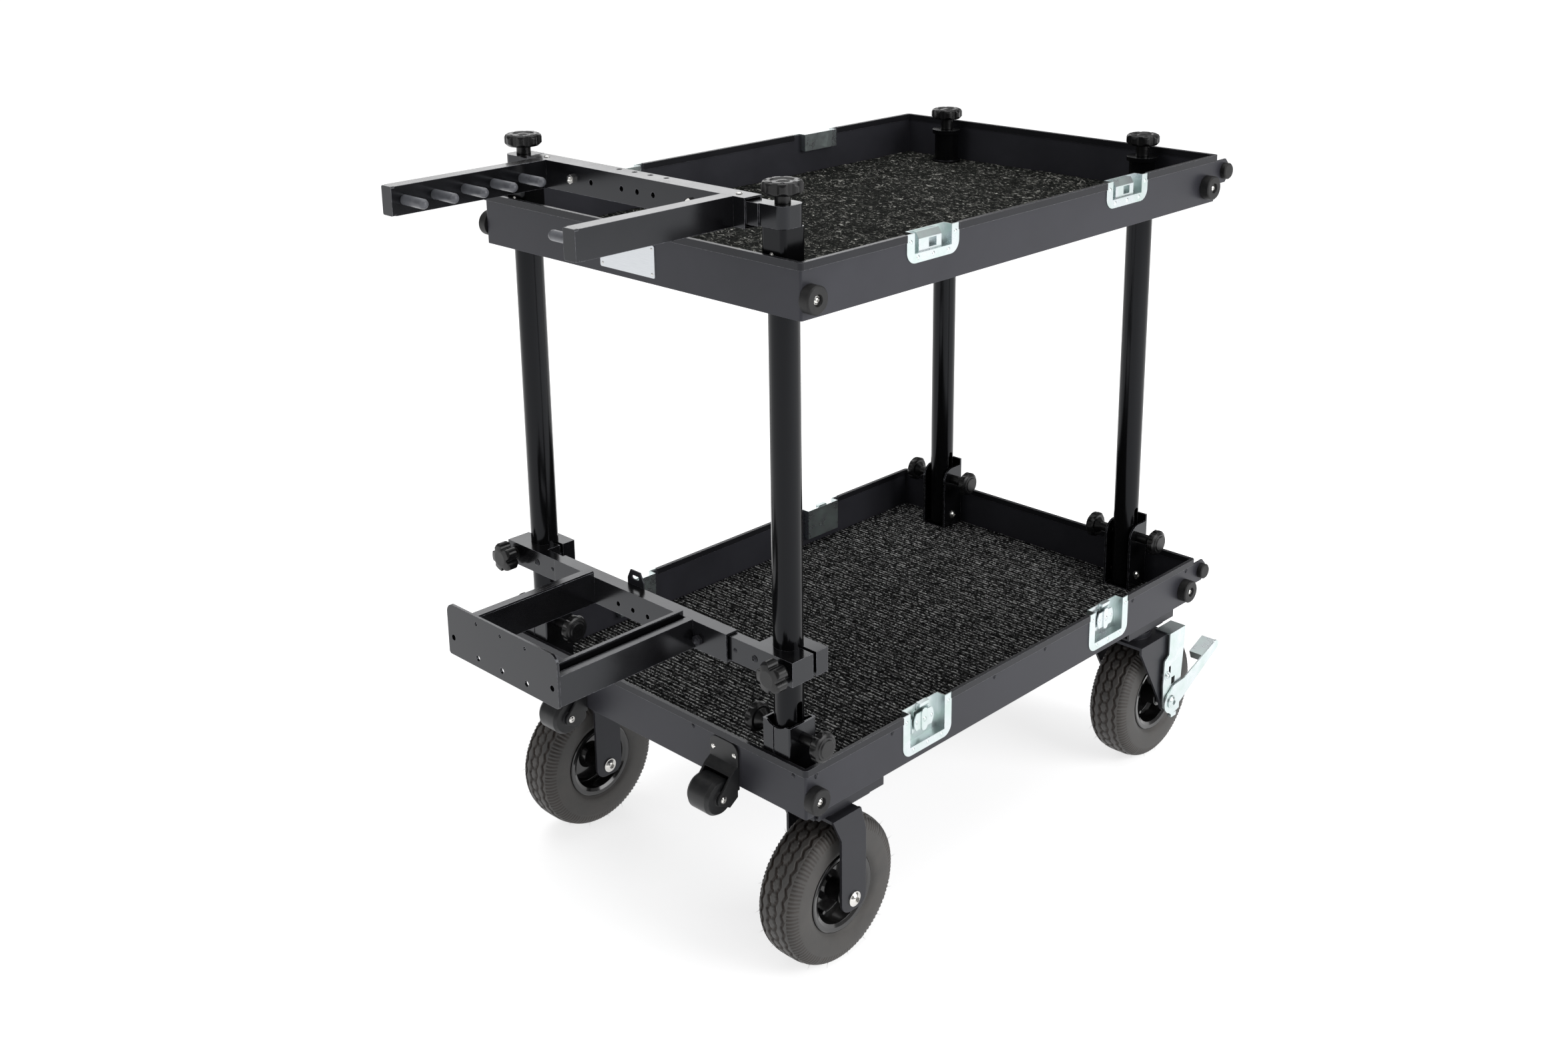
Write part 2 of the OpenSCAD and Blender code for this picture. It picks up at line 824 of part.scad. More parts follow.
module front_forks() {
    color([0.1, 0.1, 0.11]) place() {
        for (s = [-1, 1]) {
            translate([front_wheel_x, s * wheel_y, 0]) difference() {
                union() {
                    for (t = [-1, 1]) {
                        translate([0, t * (leg_in + leg_t / 2), 0]) front_leg();
                    }
                    block([-leg_w / 2 - 19, -leg_in, plate_z - crown_t], [leg_w / 2 - 14, leg_in, plate_z]);
                    for (t = [-1, 1]) {
                        rod_y(t > 0 ? hub_half() + 1 : -leg_in, t > 0 ? leg_in : -hub_half() - 1, 0, axle_z, 12);
                    }
                }
                rod_y(-leg_out - 1, leg_out + 1, 0, axle_z, axle_r);
            }
        }
    }
}

function hub_half() = tyre_w / 2 + 4;
function roller_x() = -(wall_x + roller_out);
function roller_z() = lower_z - roller_drop;
function cheek_in() = roller_w / 2 + 3;
function cheek_out() = cheek_in() + 4;

// A riveted back plate with a hood and two cheeks that carry a roller.
module roller_housing() {
    back = 4;
    z1 = lower_top - rim_h - 1;
    hood = lower_z + 32;
    half = cheek_out();
    difference() {
        union() {
            translate([-(wall_x + back), 0, 0]) rotate([90, 0, 90]) linear_extrude(height = back) {
                translate([-half, lower_z - 6]) square([2 * half, 66]);
                translate([-half + 16, lower_z]) square([2 * half - 32, z1 - lower_z]);
                translate([-half + 16, z1 - 16]) circle(r = 16);
                translate([half - 16, z1 - 16]) circle(r = 16);
            }
            for (t = [-1, 1]) {
                translate([0, t * (cheek_in() + 2), 0]) rotate([90, 0, 0]) {
                    linear_extrude(height = 4, center = true) {
                        polygon([
                            [-wall_x - 1, hood + 6],
                            [-wall_x - back - 12, hood - 4],
                            [roller_x() - 10, roller_z() + 4],
                            [roller_x() - 10, roller_z() - 6],
                            [roller_x() + 14, roller_z() - 20],
                            [-wall_x - 4, roller_z() - 8],
                            [-wall_x - 4, lower_z - 6],
                            [-wall_x - 1, lower_z]
                        ]);
                        translate([roller_x(), roller_z()]) circle(r = 11);
                    }
                }
            }
            translate([0, half, 0]) rotate([90, 0, 0]) linear_extrude(height = 2 * half) {
                polygon([
                    [-wall_x - 1, hood + 6],
                    [-wall_x - back - 12, hood - 4],
                    [-wall_x - back - 16, hood - 8],
                    [-wall_x - back - 13, hood - 10],
                    [-wall_x - 1, hood]
                ]);
            }
        }
        rod_y(-half - 1, half + 1, roller_x(), roller_z(), 5);
        block([-wall_x, -half - 1, 0], [-wall_x + 9, half + 1, z1 + 1]);
    }
}

module roller_housings() {
    color([0.09, 0.09, 0.09]) place() {
        for (s = [-1, 1]) {
            translate([0, s * roller_y, 0]) roller_housing();
        }
    }
}

module roller(s) {
    half = roller_w / 2;
    color([0.12, 0.12, 0.12]) place() {
        translate([roller_x(), s * roller_y, roller_z()]) rotate([90, 0, 0]) rotate_extrude() {
            difference() {
                polygon([
                    [5 + fit, -half - 2],
                    [13, -half - 2],
                    [13, -half],
                    [roller_d / 2 - 4, -half],
                    [roller_d / 2, -half + 6],
                    [roller_d / 2, half - 6],
                    [roller_d / 2 - 4, half],
                    [13, half],
                    [13, half + 2],
                    [5 + fit, half + 2]
                ]);
            }
        }
    }
}

// ---- wheels ----

// Half profile of a tyre: radius against distance from the middle plane.
function tyre_point(a) = [
    rim_r + 24 + (wheel_d / 2 - rim_r - 24) * pow(sin(a), 0.62),
    tyre_w / 2 * pow(cos(a), 0.55)
];

module tyre(x, s) {
    bead = tyre_w / 2 - 8;
    inner = rim_r - 10;
    steps = 14;
    grooves = [-21, -7, 7, 21];
    right = [for (i = [0 : steps]) tyre_point(90 * i / steps)];
    left = [for (i = [steps - 1 : -1 : 0]) [right[i][0], -right[i][1]]];
    color([0.2, 0.18, 0.16]) place() {
        translate([x, s * wheel_y, axle_z]) rotate([90, 0, 0]) rotate_extrude($fn = 96) {
            difference() {
                polygon(concat(
                    [[inner, -bead], [inner, bead], [rim_r, bead], [rim_r + 4, bead + 4]],
                    [[rim_r + 12, tyre_w / 2 - 1.2]],
                    right,
                    left,
                    [[rim_r + 12, -tyre_w / 2 + 1.2], [rim_r + 4, -bead - 4], [rim_r, -bead]]
                ));
                for (g = grooves) {
                    translate([wheel_d / 2 - 5, g - 1.6]) square([8, 3.2]);
                }
            }
        }
    }
}

// A drop-centre steel rim with rolled lips, a dished disc and a hub.
module rim(x, s) {
    bead = tyre_w / 2 - 8;
    hub = hub_half();
    inner = rim_r - 10;
    color([0.04, 0.04, 0.04]) place() {
        translate([x, s * wheel_y, axle_z]) rotate([90, 0, 0]) {
            rotate_extrude($fn = 96) {
                polygon([
                    [axle_r + fit, -hub], [17, -hub], [18, -hub + 1], [18, -12], [26, -5],
                    [inner - 12, -4], [inner - 4, -9], [inner - 4, -bead], [inner + 2, -bead - 3],
                    [rim_r - 2, -bead - 4], [rim_r, -bead - 3], [rim_r, -bead], [inner, -bead],
                    [inner, bead], [rim_r, bead], [rim_r, bead + 3], [rim_r - 2, bead + 4],
                    [inner + 2, bead + 3], [inner - 4, bead], [inner - 4, -2], [inner - 12, 2],
                    [26, 3], [18, 12], [18, hub - 1], [17, hub], [axle_r + fit, hub]
                ]);
            }
            // valve stem through the disc on the outer side
            rotate([0, 0, 225]) {
                translate([inner - 17, 0, s < 0 ? 0 : -23]) cylinder(h = 23, r = 3.2);
            }
        }
    }
}

// ---- rear casters ----

module rear_leg() {
    x0 = -trail - 52;
    top = crown_z + crown_t;
    rotate([90, 0, 0]) linear_extrude(height = leg_t, center = true) {
        polygon([
            [x0, top],
            [x0, top - 14],
            [-17, axle_z - 8],
            [0, axle_z - 20],
            [22, axle_z],
            [22, top - 28],
            [4, top]
        ]);
        translate([0, axle_z]) circle(r = 22);
    }
}

module rear_fork(s) {
    x0 = -trail - 52;
    color([0.1, 0.1, 0.11]) place() translate([rear_wheel_x, s * wheel_y, 0]) difference() {
        union() {
            for (t = [-1, 1]) {
                translate([0, t * (leg_in + leg_t / 2), 0]) rear_leg();
            }
            block([x0, -leg_in, crown_z], [4, leg_in, crown_z + crown_t]);
            translate([-trail, 0, crown_z + crown_t]) cylinder(h = race_h - gap - 4, r = 42);
            translate([-trail, 0, plate_z - gap - 4]) cylinder(h = 4, r = 36);
            for (t = [-1, 1]) {
                rod_y(t > 0 ? hub_half() + 1 : -leg_in, t > 0 ? leg_in : -hub_half() - 1, 0, axle_z, 12);
            }
        }
        rod_y(-leg_out - 1, leg_out + 1, 0, axle_z, axle_r);
    }
}

// Brake bracket on the outer side of a rear fork, with the axle, its heads and a fold-over top.
module brake_bracket(s) {
    top = crown_z + crown_t;
    color([0.75, 0.77, 0.78]) place() translate([rear_wheel_x, s * wheel_y, 0]) mirror([0, s < 0 ? 1 : 0, 0]) {
        difference() {
            union() {
                translate([0, bracket_out, 0]) rotate([90, 0, 0]) linear_extrude(height = 3) {
                    difference() {
                        polygon([
                            [-10, top + 3], [44, top + 3], [44, top - 14], [36, axle_z + 36],
                            [36, axle_z - 28], [8, axle_z - 34], [-22, axle_z - 8],
                            [-27, axle_z + 42], [-25, top - 52], [-10, top - 42]
                        ]);
                        translate([2, axle_z + 36]) square([12, 15]);
                        translate([-9, axle_z + 62]) square([7, 16]);
                    }
                }
                block([-10, leg_out - 26, top], [44, bracket_in, top + 3]);
                block([8, bracket_in - 6, axle_z - 40], [26, bracket_in, axle_z - 36]);
                block([8, bracket_in, axle_z - 40], [26, bracket_out, axle_z - 32]);
                rod_y(leg_out, bracket_in, 0, axle_z, 14);
                rod_y(leg_out, bracket_in, -14, axle_z + 60, 6);
            }
            rod_y(leg_out - 1, bracket_out + 1, 0, axle_z, axle_r);
        }
        rod_y(-leg_out, lever_out + gap, 0, axle_z, axle_r);
        translate([0, lever_out + gap, axle_z]) rotate([-90, 0, 0]) button(13, 7);
        translate([0, -leg_out, axle_z]) rotate([90, 0, 0]) button(13, 7);
        translate([-14, bracket_out, axle_z + 60]) rotate([-90, 0, 0]) cylinder(h = 1, r = 9);
        translate([-14, bracket_out + 1, axle_z + 60]) rotate([-90, 0, 0]) button(5.5, 4);
    }
}

// Brake lever: a bright arm on the axle with a pedal pad at its end.
module brake_lever(s) {
    tip_x = lever_reach - lever_tip_r;
    tip_z = axle_z + 67;
    color([0.7, 0.72, 0.73]) place() translate([rear_wheel_x, s * wheel_y, 0]) mirror([0, s < 0 ? 1 : 0, 0]) {
        difference() {
            translate([0, lever_out, 0]) rotate([90, 0, 0]) linear_extrude(height = 3) {
                circle_at(0, axle_z, 24);
                circle_at(tip_x, tip_z, lever_tip_r);
                polygon([
                    [4, axle_z - 23.5],
                    [34, axle_z - 10],
                    [tip_x + 5, tip_z - 8.6],
                    [tip_x - 6, tip_z + 8],
                    [46, axle_z + 36],
                    [8, axle_z + 34],
                    [-16, axle_z + 17]
                ]);
            }
            rod_y(lever_in - 1, lever_out + 1, 0, axle_z, axle_r + fit);
        }
        // pedal pad, folded inwards from the arm
        translate([tip_x, 0, tip_z]) rotate([0, -22, 0]) {
            block([-46, lever_in - 30, -9], [4, lever_in, 9]);
        }
    }
}

module circle_at(x, y, r) {
    translate([x, y]) circle(r = r);
}

// ---- upper deck ----

module upper_tray() {
    color([0.2, 0.2, 0.21]) place() difference() {
        tray_shell(upper_z, catch_drop);
        front_pair() rod_z(upper_z - 1, upper_floor + 1, 0, 0, stud_r + fit);
        rear_pair() rod_z(upper_z - 1, upper_floor + 1, 0, 0, stud_r + fit);
    }
}

module upper_rim() {
    color([0.1, 0.1, 0.1]) place() tray_rim(upper_z);
}

module upper_carpet() {
    color([0.24, 0.24, 0.24]) place() difference() {
        carpet(upper_floor);
        front_pair() translate([0, 0, upper_floor - 1]) {
            round_prism(post_d + 1, post_d + 1, block_r, carpet_t + 2);
        }
        rear_pair() rod_z(upper_floor - 1, upper_floor + carpet_t + 1, 0, 0, post_r + 6);
    }
}

// Square blocks in front and round collars at the rear, bored for the knob studs.
module post_sockets() {
    color([0.07, 0.07, 0.08]) place() {
        front_pair() difference() {
            translate([0, 0, upper_floor]) round_prism(post_d, post_d, block_r, block_top - upper_floor);
            rod_z(upper_floor - 1, block_top + 1, 0, 0, stud_r + fit);
        }
        rear_pair() difference() {
            union() {
                rod_z(upper_floor, collar_top, 0, 0, post_r);
                rod_z(upper_floor, upper_floor + carpet_t + 2, 0, 0, post_r + 5);
                rod_z(collar_top, collar_top + disc_h, 0, 0, post_r + 5);
            }
            rod_z(upper_floor - 1, collar_top + disc_h + 1, 0, 0, stud_r + fit);
        }
    }
}

module label_plate() {
    color([0.8, 0.8, 0.8]) place() {
        translate([-(wall_x + 1.2), 5, upper_z + 36]) rotate([90, 0, 90]) {
            linear_extrude(height = 1.2) round_rect(130, 52, 3);
        }
    }
}

// Hollow main bar and the solid ends that the front knobs clamp onto the blocks.
module upper_crossbar() {
    iy = bar_half - 40;
    x0 = bar_x0 + bar_wall;
    x1 = bar_x0 + bar_x - bar_wall;
    end_y = front_post_y + post_r;
    top = block_top + end_z;
    color([0.12, 0.12, 0.12]) place() {
        difference() {
            block([bar_x0, -bar_half, bar_z0], [bar_x0 + bar_x, bar_half, bar_z0 + bar_z]);
            block([x0, -bar_half - 1, bar_z0 + bar_wall], [x1, bar_half + 1, bar_z0 + bar_z - bar_wall]);
            for (i = [-2 : 1]) {
                rod_z(bar_z0 + bar_z - bar_wall - 1, bar_z0 + bar_z + 1, bar_x0 + 26, 16 + i * hole_step, 4.5);
            }
            for (i = [-3, -1, 0, 1, 3]) {
                rod_x(bar_x0 - 1, x0 + 1, -18 + i * hole_step, peg_z, 4.5);
            }
        }
        for (s = [-1, 1]) {
            mirror([0, s < 0 ? 1 : 0, 0]) difference() {
                union() {
                    block([x0, iy, block_top], [x1, end_y - post_d, top - 1]);
                    block([front_post_x - post_r, end_y - post_d, block_top], [front_post_x + post_r, end_y - 14, top - 1]);
                    translate([front_post_x, end_y - 24, block_top]) round_prism(post_d, post_d, 14, top - 1 - block_top);
                }
                rod_z(block_top - 1, top + 1, front_post_x, front_post_y, stud_r + fit);
            }
        }
    }
}

module upper_arms() {
    z1 = bar_z0 + bar_z;
    color([0.12, 0.12, 0.12]) place() {
        for (s = [-1, 1]) {
            mirror([0, s < 0 ? 1 : 0, 0]) {
                difference() {
                    block([arm_x0 + cap_l, arm_y - arm_w, bar_z0], [bar_x0, arm_y, z1]);
                    block(
                        [arm_x0 + cap_l - 1, arm_y - arm_w + arm_wall, bar_z0 + arm_wall],
                        [bar_x0 + 1, arm_y - arm_wall, z1 - arm_wall]
                    );
                }
                translate([arm_x0, arm_y - arm_w / 2, bar_z0 + bar_z / 2]) rotate([90, 0, 90]) {
                    linear_extrude(height = cap_l) round_rect(arm_w, bar_z, 3);
                }
            }
        }
    }
}

// Round-ended pegs on the inner faces of the arms.
module arm_pegs() {
    r = peg_d / 2;
    color([0.4, 0.42, 0.44]) place() {
        for (s = [-1, 1]) {
            for (i = [0 : peg_n - 1]) {
                mirror([0, s < 0 ? 1 : 0, 0]) {
                    translate([arm_x0 + peg_end + i * peg_step, arm_y - arm_w, peg_z]) rotate([90, 0, 0]) {
                        cylinder(h = peg_l - r, r = r);
                        translate([0, 0, peg_l - r]) intersection() {
                            sphere(r = r);
                            cylinder(h = r, r = r);
                        }
                    }
                }
            }
        }
    }
}

module upper_fasteners() {
    color([0.78, 0.78, 0.76]) place() {
        bumper_screws(upper_z);
        // screws in the corners of the label plate
        for (y = [-54, 64]) {
            for (z = [-20, 20]) {
                on_front(y, upper_z + 36 + z, 1.2) dome(2.4, 1.2);
            }
        }
        // bolts and nuts that hold the arms to the main bar, and set screws in the blocks
        for (s = [-1, 1]) {
            translate([bar_x0, s * 140, peg_z]) rotate([0, -90, 0]) cylinder(h = 5, r = 8, $fn = 6);
            translate([bar_x0 - 5, s * 140, peg_z]) rotate([0, -90, 0]) dome(4, 4);
            translate([front_post_x - post_r, s * front_post_y, block_top - 40]) rotate([0, -90, 0]) button(4.5, 2.5);
            translate([bar_x0 + 18, s * 226, bar_z0 + bar_z]) button(5, 3);
        }
    }
}

// ---- knobs ----

// A round knob with shallow lobes; the rim is rolled by an exact turned profile.
module lobed(n, d, h) {
    r = d / 2;
    lobe = r * 0.3;
    intersection() {
        linear_extrude(height = h) {
            circle(r = r * 0.9);
            for (i = [0 : n - 1]) {
                rotate(i * 360 / n) translate([r - lobe, 0]) circle(r = lobe);
            }
        }
        rotate_extrude() {
            polygon([[0, 0], [r - 5, 0], [r, 5], [r, h - 6], [r - 2, h - 2], [r - 6, h], [0, h]]);
        }
    }
}

module top_knob(x, y, z, stem) {
    r = top_knob_d / 2;
    tip = upper_z - plug_h + 4;
    color([0.05, 0.05, 0.05]) place() translate([x, y, 0]) {
        rod_z(tip, z + stem, 0, 0, stud_r);
        rod_z(z + gap, z + stem, 0, 0, stem_d / 2);
        translate([0, 0, z + stem]) difference() {
            lobed(8, top_knob_d, top_knob_h);
            translate([0, 0, top_knob_h - 2]) cylinder(h = 3, r1 = r * 0.52, r2 = r * 0.66);
            for (i = [0 : 7]) {
                rotate(i * 45) translate([r * 0.8, 0, top_knob_h - 1]) scale([1, 1, 1]) cylinder(h = 2, r = 3);
            }
        }
        translate([0, 0, z + stem + top_knob_h - 2]) dome(r * 0.36, 2.5);
    }
}

// Two knobs on one bolt through a foot bracket.
module side_knobs(x, y) {
    k = foot_out + gap;
    color([0.05, 0.05, 0.05]) place() translate([x, y, side_knob_z]) {
        rod_y(-k, k, 0, 0, side_bolt_r);
        for (s = [-1, 1]) {
            translate([0, s * k, 0]) rotate([-90 * s, 0, 0]) {
                cylinder(h = side_neck_l, r = 9.5);
                translate([0, 0, side_neck_l - 9]) cylinder(h = 9, r1 = 9.5, r2 = 16);
                translate([0, 0, side_neck_l]) {
                    lobed(8, side_knob_d, side_knob_t - 4);
                    translate([0, 0, side_knob_t - 4]) cylinder(h = 2, r1 = side_knob_d * 0.38, r2 = side_knob_d * 0.36);
                    translate([0, 0, side_knob_t - 2]) cylinder(h = 2, r1 = side_knob_d * 0.3, r2 = side_knob_d * 0.27);
                }
            }
        }
    }
}

// A five-lobed star knob with a bright washer on a clamp bolt along X.
module star_knob(s) {
    x0 = low_x0 + 6;
    lobe = star_d * 0.17;
    color([0.06, 0.06, 0.06]) place() {
        translate([x0 - gap, s * (front_post_y + star_off), clamp_mid]) rotate([0, -90, 0]) {
            cylinder(h = 3, r = 12.5);
            translate([0, 0, 3]) cylinder(h = 9, r = 10);
            translate([0, 0, 12]) intersection() {
                linear_extrude(height = star_t) {
                    circle(r = star_d * 0.32);
                    for (i = [0 : 4]) {
                        rotate(i * 72 + 18) translate([star_d / 2 - lobe, 0]) circle(r = lobe);
                        rotate(i * 72 + 18) translate([0, -lobe * 0.85]) square([star_d / 2 - lobe, lobe * 1.7]);
                    }
                }
                rotate_extrude() {
                    polygon([
                        [0, 0], [star_d / 2 - 3, 0], [star_d / 2, 3], [star_d / 2, star_t - 6],
                        [star_d / 2 - 4, star_t - 2], [star_d / 4, star_t], [0, star_t]
                    ]);
                }
            }
        }
        rod_x(x0 - gap, front_post_x + jaw_x - 6, s * (front_post_y + star_off), clamp_mid, clamp_bolt_r);
    }
}

// ---- lower bracket ----

module lower_crossbar() {
    x0 = low_x0 + low_wall;
    x1 = low_x0 + low_x - low_wall;
    clamp_in = front_post_y + 50.5 - clamp_y;
    clamp_end = front_post_y + 50.5;
    bar_front = low_x0 + 6;
    jaw0 = low_x0 + low_x;
    split = front_post_x + 3;
    color([0.12, 0.12, 0.12]) place() {
        difference() {
            block([low_x0, -low_half, low_z0], [low_x0 + low_x, low_half, low_z0 + low_z]);
            block([x0, -low_half - 1, clamp_z0], [x1, low_half + 1, low_z0 + low_z - low_wall]);
            for (i = [-1 : 1]) {
                rod_x(low_x0 - 1, x0 + 1, 9 + i * hole_step, low_z0 + 18, 4.5);
            }
        }
        for (s = [-1, 1]) {
            mirror([0, s < 0 ? 1 : 0, 0]) difference() {
                union() {
                    block([bar_front, low_half - 40, clamp_z0], [x1, low_half, clamp_z0 + clamp_z]);
                    block([bar_front, low_half, clamp_z0], [jaw0, clamp_end, clamp_z0 + clamp_z]);
                    block([jaw0, clamp_in, clamp_z0], [split, clamp_end, clamp_z0 + clamp_z]);
                    block([split + jaw_gap, clamp_in, clamp_z0], [front_post_x + jaw_x, clamp_end, clamp_z0 + clamp_z]);
                }
                rod_z(clamp_z0 - 1, clamp_z0 + clamp_z + 1, front_post_x, front_post_y, post_r + fit);
                rod_x(bar_front - 1, front_post_x + jaw_x - 5, front_post_y + star_off, clamp_mid, clamp_bolt_r + fit);
                rod_x(bar_front - 1, front_post_x + jaw_x - 5, front_post_y - 31.5, clamp_mid, 3);
            }
        }
    }
}

// Rails with a groove and a raised inner lip, closed by the end plate.
module lower_arms() {
    x0 = low_x0 - low_arm_l;
    y0 = low_arm_y - low_arm_w;
    z1 = low_z0 + low_z + 2;
    color([0.13, 0.13, 0.13]) place() {
        for (s = [-1, 1]) {
            mirror([0, s < 0 ? 1 : 0, 0]) translate([x0, 0, 0]) rotate([90, 0, 90]) {
                linear_extrude(height = low_arm_l) polygon([
                    [low_arm_y, low_z0],
                    [low_arm_y, z1],
                    [low_arm_y - 14, z1],
                    [low_arm_y - 14, z1 - 8],
                    [low_arm_y - 4, z1 - 8],
                    [low_arm_y - 4, low_z0 + 4],
                    [y0 + 4, low_z0 + 4],
                    [y0 + 4, z1 - 8],
                    [y0 + 9, z1 - 8],
                    [y0 + 9, z1 + 8],
                    [y0 + 2, z1 + 8],
                    [y0, z1 + 6],
                    [y0, low_z0]
                ]);
            }
        }
        translate([x0 - end_t, 0, low_z0 - 3 + end_h / 2]) rotate([90, 0, 90]) linear_extrude(height = end_t) {
            difference() {
                union() {
                    round_rect(2 * low_arm_y + 1, end_h, 16);
                    translate([0, -20]) round_rect(2 * low_arm_y + 1, end_h - 40, 5);
                }
                for (s = [-1, 1]) {
                    translate([s * (low_arm_y - 13.5), -13]) circle(r = 5);
                }
                for (i = [-1 : 1]) {
                    translate([i * plate_step, -28]) circle(r = 5);
                    translate([i * plate_step, 31]) circle(r = 3);
                }
            }
        }
    }
}

module bracket_bolts() {
    x1 = low_x0 + low_x;
    zt = low_z0 + low_z;
    color([0.2, 0.2, 0.2]) place() {
        for (s = [-1, 1]) {
            // nut and bolt end beside each arm, a screw in each insert, the inner clamp bolt
            translate([low_x0, s * (low_arm_y + 12), low_z0 + 18]) rotate([0, -90, 0]) {
                cylinder(h = 6, r = 9, $fn = 6);
                translate([0, 0, 6]) dome(4.5, 5);
            }
            translate([low_x0 + 6, s * (low_half + 14), clamp_mid]) rotate([0, -90, 0]) dome(4, 2);
            translate([low_x0 + 6, s * (front_post_y - 31.5), clamp_mid]) rotate([0, -90, 0]) button(6, 3.5);
            rod_x(low_x0 + 6, front_post_x + jaw_x - 6, s * (front_post_y - 31.5), clamp_mid, 3);
        }
        // eyelet plate on the rear top edge
        translate([x1, 29, 0]) rotate([90, 0, 90]) linear_extrude(height = 2.5) difference() {
            polygon([[-20, zt - 22], [20, zt - 22], [20, zt + 10], [12, zt + 26], [-12, zt + 26], [-20, zt + 10]]);
            translate([0, zt + 14]) round_rect(18, 7, 3);
        }
    }
}

// ---- numbered pieces ----

module top_knob_1() { top_knob(front_post_x, -front_post_y, block_top + end_z - 1, front_stem_l); }
module top_knob_2() { top_knob(front_post_x, front_post_y, block_top + end_z - 1, front_stem_l); }
module top_knob_3() { top_knob(rear_post_x, -rear_post_y, collar_top + disc_h, rear_stem_l); }
module top_knob_4() { top_knob(rear_post_x, rear_post_y, collar_top + disc_h, rear_stem_l); }
module side_knobs_1() { side_knobs(front_post_x, -front_post_y); }
module side_knobs_2() { side_knobs(front_post_x, front_post_y); }
module side_knobs_3() { side_knobs(rear_post_x, -rear_post_y); }
module side_knobs_4() { side_knobs(rear_post_x, rear_post_y); }
module star_knob_1() { star_knob(-1); }
module star_knob_2() { star_knob(1); }
module tyre_1() { tyre(front_wheel_x, -1); }
module tyre_2() { tyre(front_wheel_x, 1); }
module tyre_3() { tyre(rear_wheel_x, -1); }
module tyre_4() { tyre(rear_wheel_x, 1); }
module rim_1() { rim(front_wheel_x, -1); }
module rim_2() { rim(front_wheel_x, 1); }
module rim_3() { rim(rear_wheel_x, -1); }
module rim_4() { rim(rear_wheel_x, 1); }
module rear_fork_3() { rear_fork(-1); }
module rear_fork_4() { rear_fork(1); }
module brake_bracket_3() { brake_bracket(-1); }
module brake_bracket_4() { brake_bracket(1); }
module brake_lever_3() { brake_lever(-1); }
module brake_lever_4() { brake_lever(1); }
module roller_1() { roller(-1); }
module roller_2() { roller(1); }
module latch_wing_1() { wing(-1, -1); }
module latch_wing_2() { wing(1, -1); }
module latch_wing_3() { wing(-1, 1); }
module latch_wing_4() { wing(1, 1); }
module latch_hook_1() { hook(-1, -1); }
module latch_hook_2() { hook(1, -1); }
module latch_hook_3() { hook(-1, 1); }
module latch_hook_4() { hook(1, 1); }

lower_tray();
lower_rim();
lower_carpet();
deck_rails();
post_brackets();
posts();
latch_dishes();
tray_rivets();
lower_bumpers();
lower_fasteners();
front_forks();
roller_housings();
upper_tray();
upper_rim();
upper_carpet();
catch_dishes();
post_sockets();
upper_bumpers();
label_plate();
upper_crossbar();
upper_arms();
arm_pegs();
upper_fasteners();
top_knob_1();
top_knob_2();
top_knob_3();
top_knob_4();
side_knobs_1();
side_knobs_2();
side_knobs_3();
side_knobs_4();
lower_crossbar();
lower_arms();
bracket_bolts();
star_knob_1();
star_knob_2();
tyre_1();
tyre_2();
tyre_3();
tyre_4();
rim_1();
rim_2();
rim_3();
rim_4();
rear_fork_3();
rear_fork_4();
brake_bracket_3();
brake_bracket_4();
brake_lever_3();
brake_lever_4();
roller_1();
roller_2();
latch_wing_1();
latch_wing_2();
latch_wing_3();
latch_wing_4();
latch_hook_1();
latch_hook_2();
latch_hook_3();
latch_hook_4();
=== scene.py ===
# %% [markdown]
# # A two-tier folding equipment cart
#
# The cart has two shallow carpeted trays held apart by four black tubes, a bracket with pegs on
# top, a sliding bracket below it, bright recessed latches and four air-filled wheels. The hard
# parts come from the CAD model with their true shape and place. This lesson gives each of them
# its finish, and builds the soft and patterned parts that CAD only blocks out: the two carpets
# and the four tyres.

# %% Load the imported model
import json
import math

import bpy
import numpy as np
from mathutils import Matrix, Vector


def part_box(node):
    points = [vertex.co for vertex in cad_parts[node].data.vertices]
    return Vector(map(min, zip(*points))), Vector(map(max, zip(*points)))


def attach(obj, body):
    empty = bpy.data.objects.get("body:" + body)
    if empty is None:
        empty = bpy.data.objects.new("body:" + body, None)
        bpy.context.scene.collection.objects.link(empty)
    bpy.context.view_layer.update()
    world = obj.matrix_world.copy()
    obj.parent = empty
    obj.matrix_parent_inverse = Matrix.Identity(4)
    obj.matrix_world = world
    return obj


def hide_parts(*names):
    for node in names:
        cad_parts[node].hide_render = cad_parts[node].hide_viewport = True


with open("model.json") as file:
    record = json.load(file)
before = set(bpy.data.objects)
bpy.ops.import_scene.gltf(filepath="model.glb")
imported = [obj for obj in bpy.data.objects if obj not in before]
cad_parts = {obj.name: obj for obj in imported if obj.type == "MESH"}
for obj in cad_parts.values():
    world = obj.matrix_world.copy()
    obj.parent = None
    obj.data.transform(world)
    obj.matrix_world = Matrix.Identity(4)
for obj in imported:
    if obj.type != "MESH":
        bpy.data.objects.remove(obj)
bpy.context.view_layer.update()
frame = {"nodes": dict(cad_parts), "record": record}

nodes = frame["nodes"]
scene = bpy.context.scene

# %% [markdown]
# ## The camera
#
# The cart is seen from beyond its front right corner, from a little above the upper tray. Tall
# things look straightest when the camera is held nearly level and its lens is slid down, so the
# camera has a moderate vertical shift. A larger one would make the posts look even more
# parallel, but it would push every other view off centre.

# %% Camera
camera_place = Vector((-2.18038, -2.03659, 1.81067))
camera_turn = (-45.386, 16.258, -0.730)  # degrees of yaw, pitch and roll
camera_lens = 40.125  # millimetres, on a sensor as wide as a small-format film frame
film_width = 36
camera_shift = -0.12  # share of the frame's width that the lens is slid down
sight_limit = 200


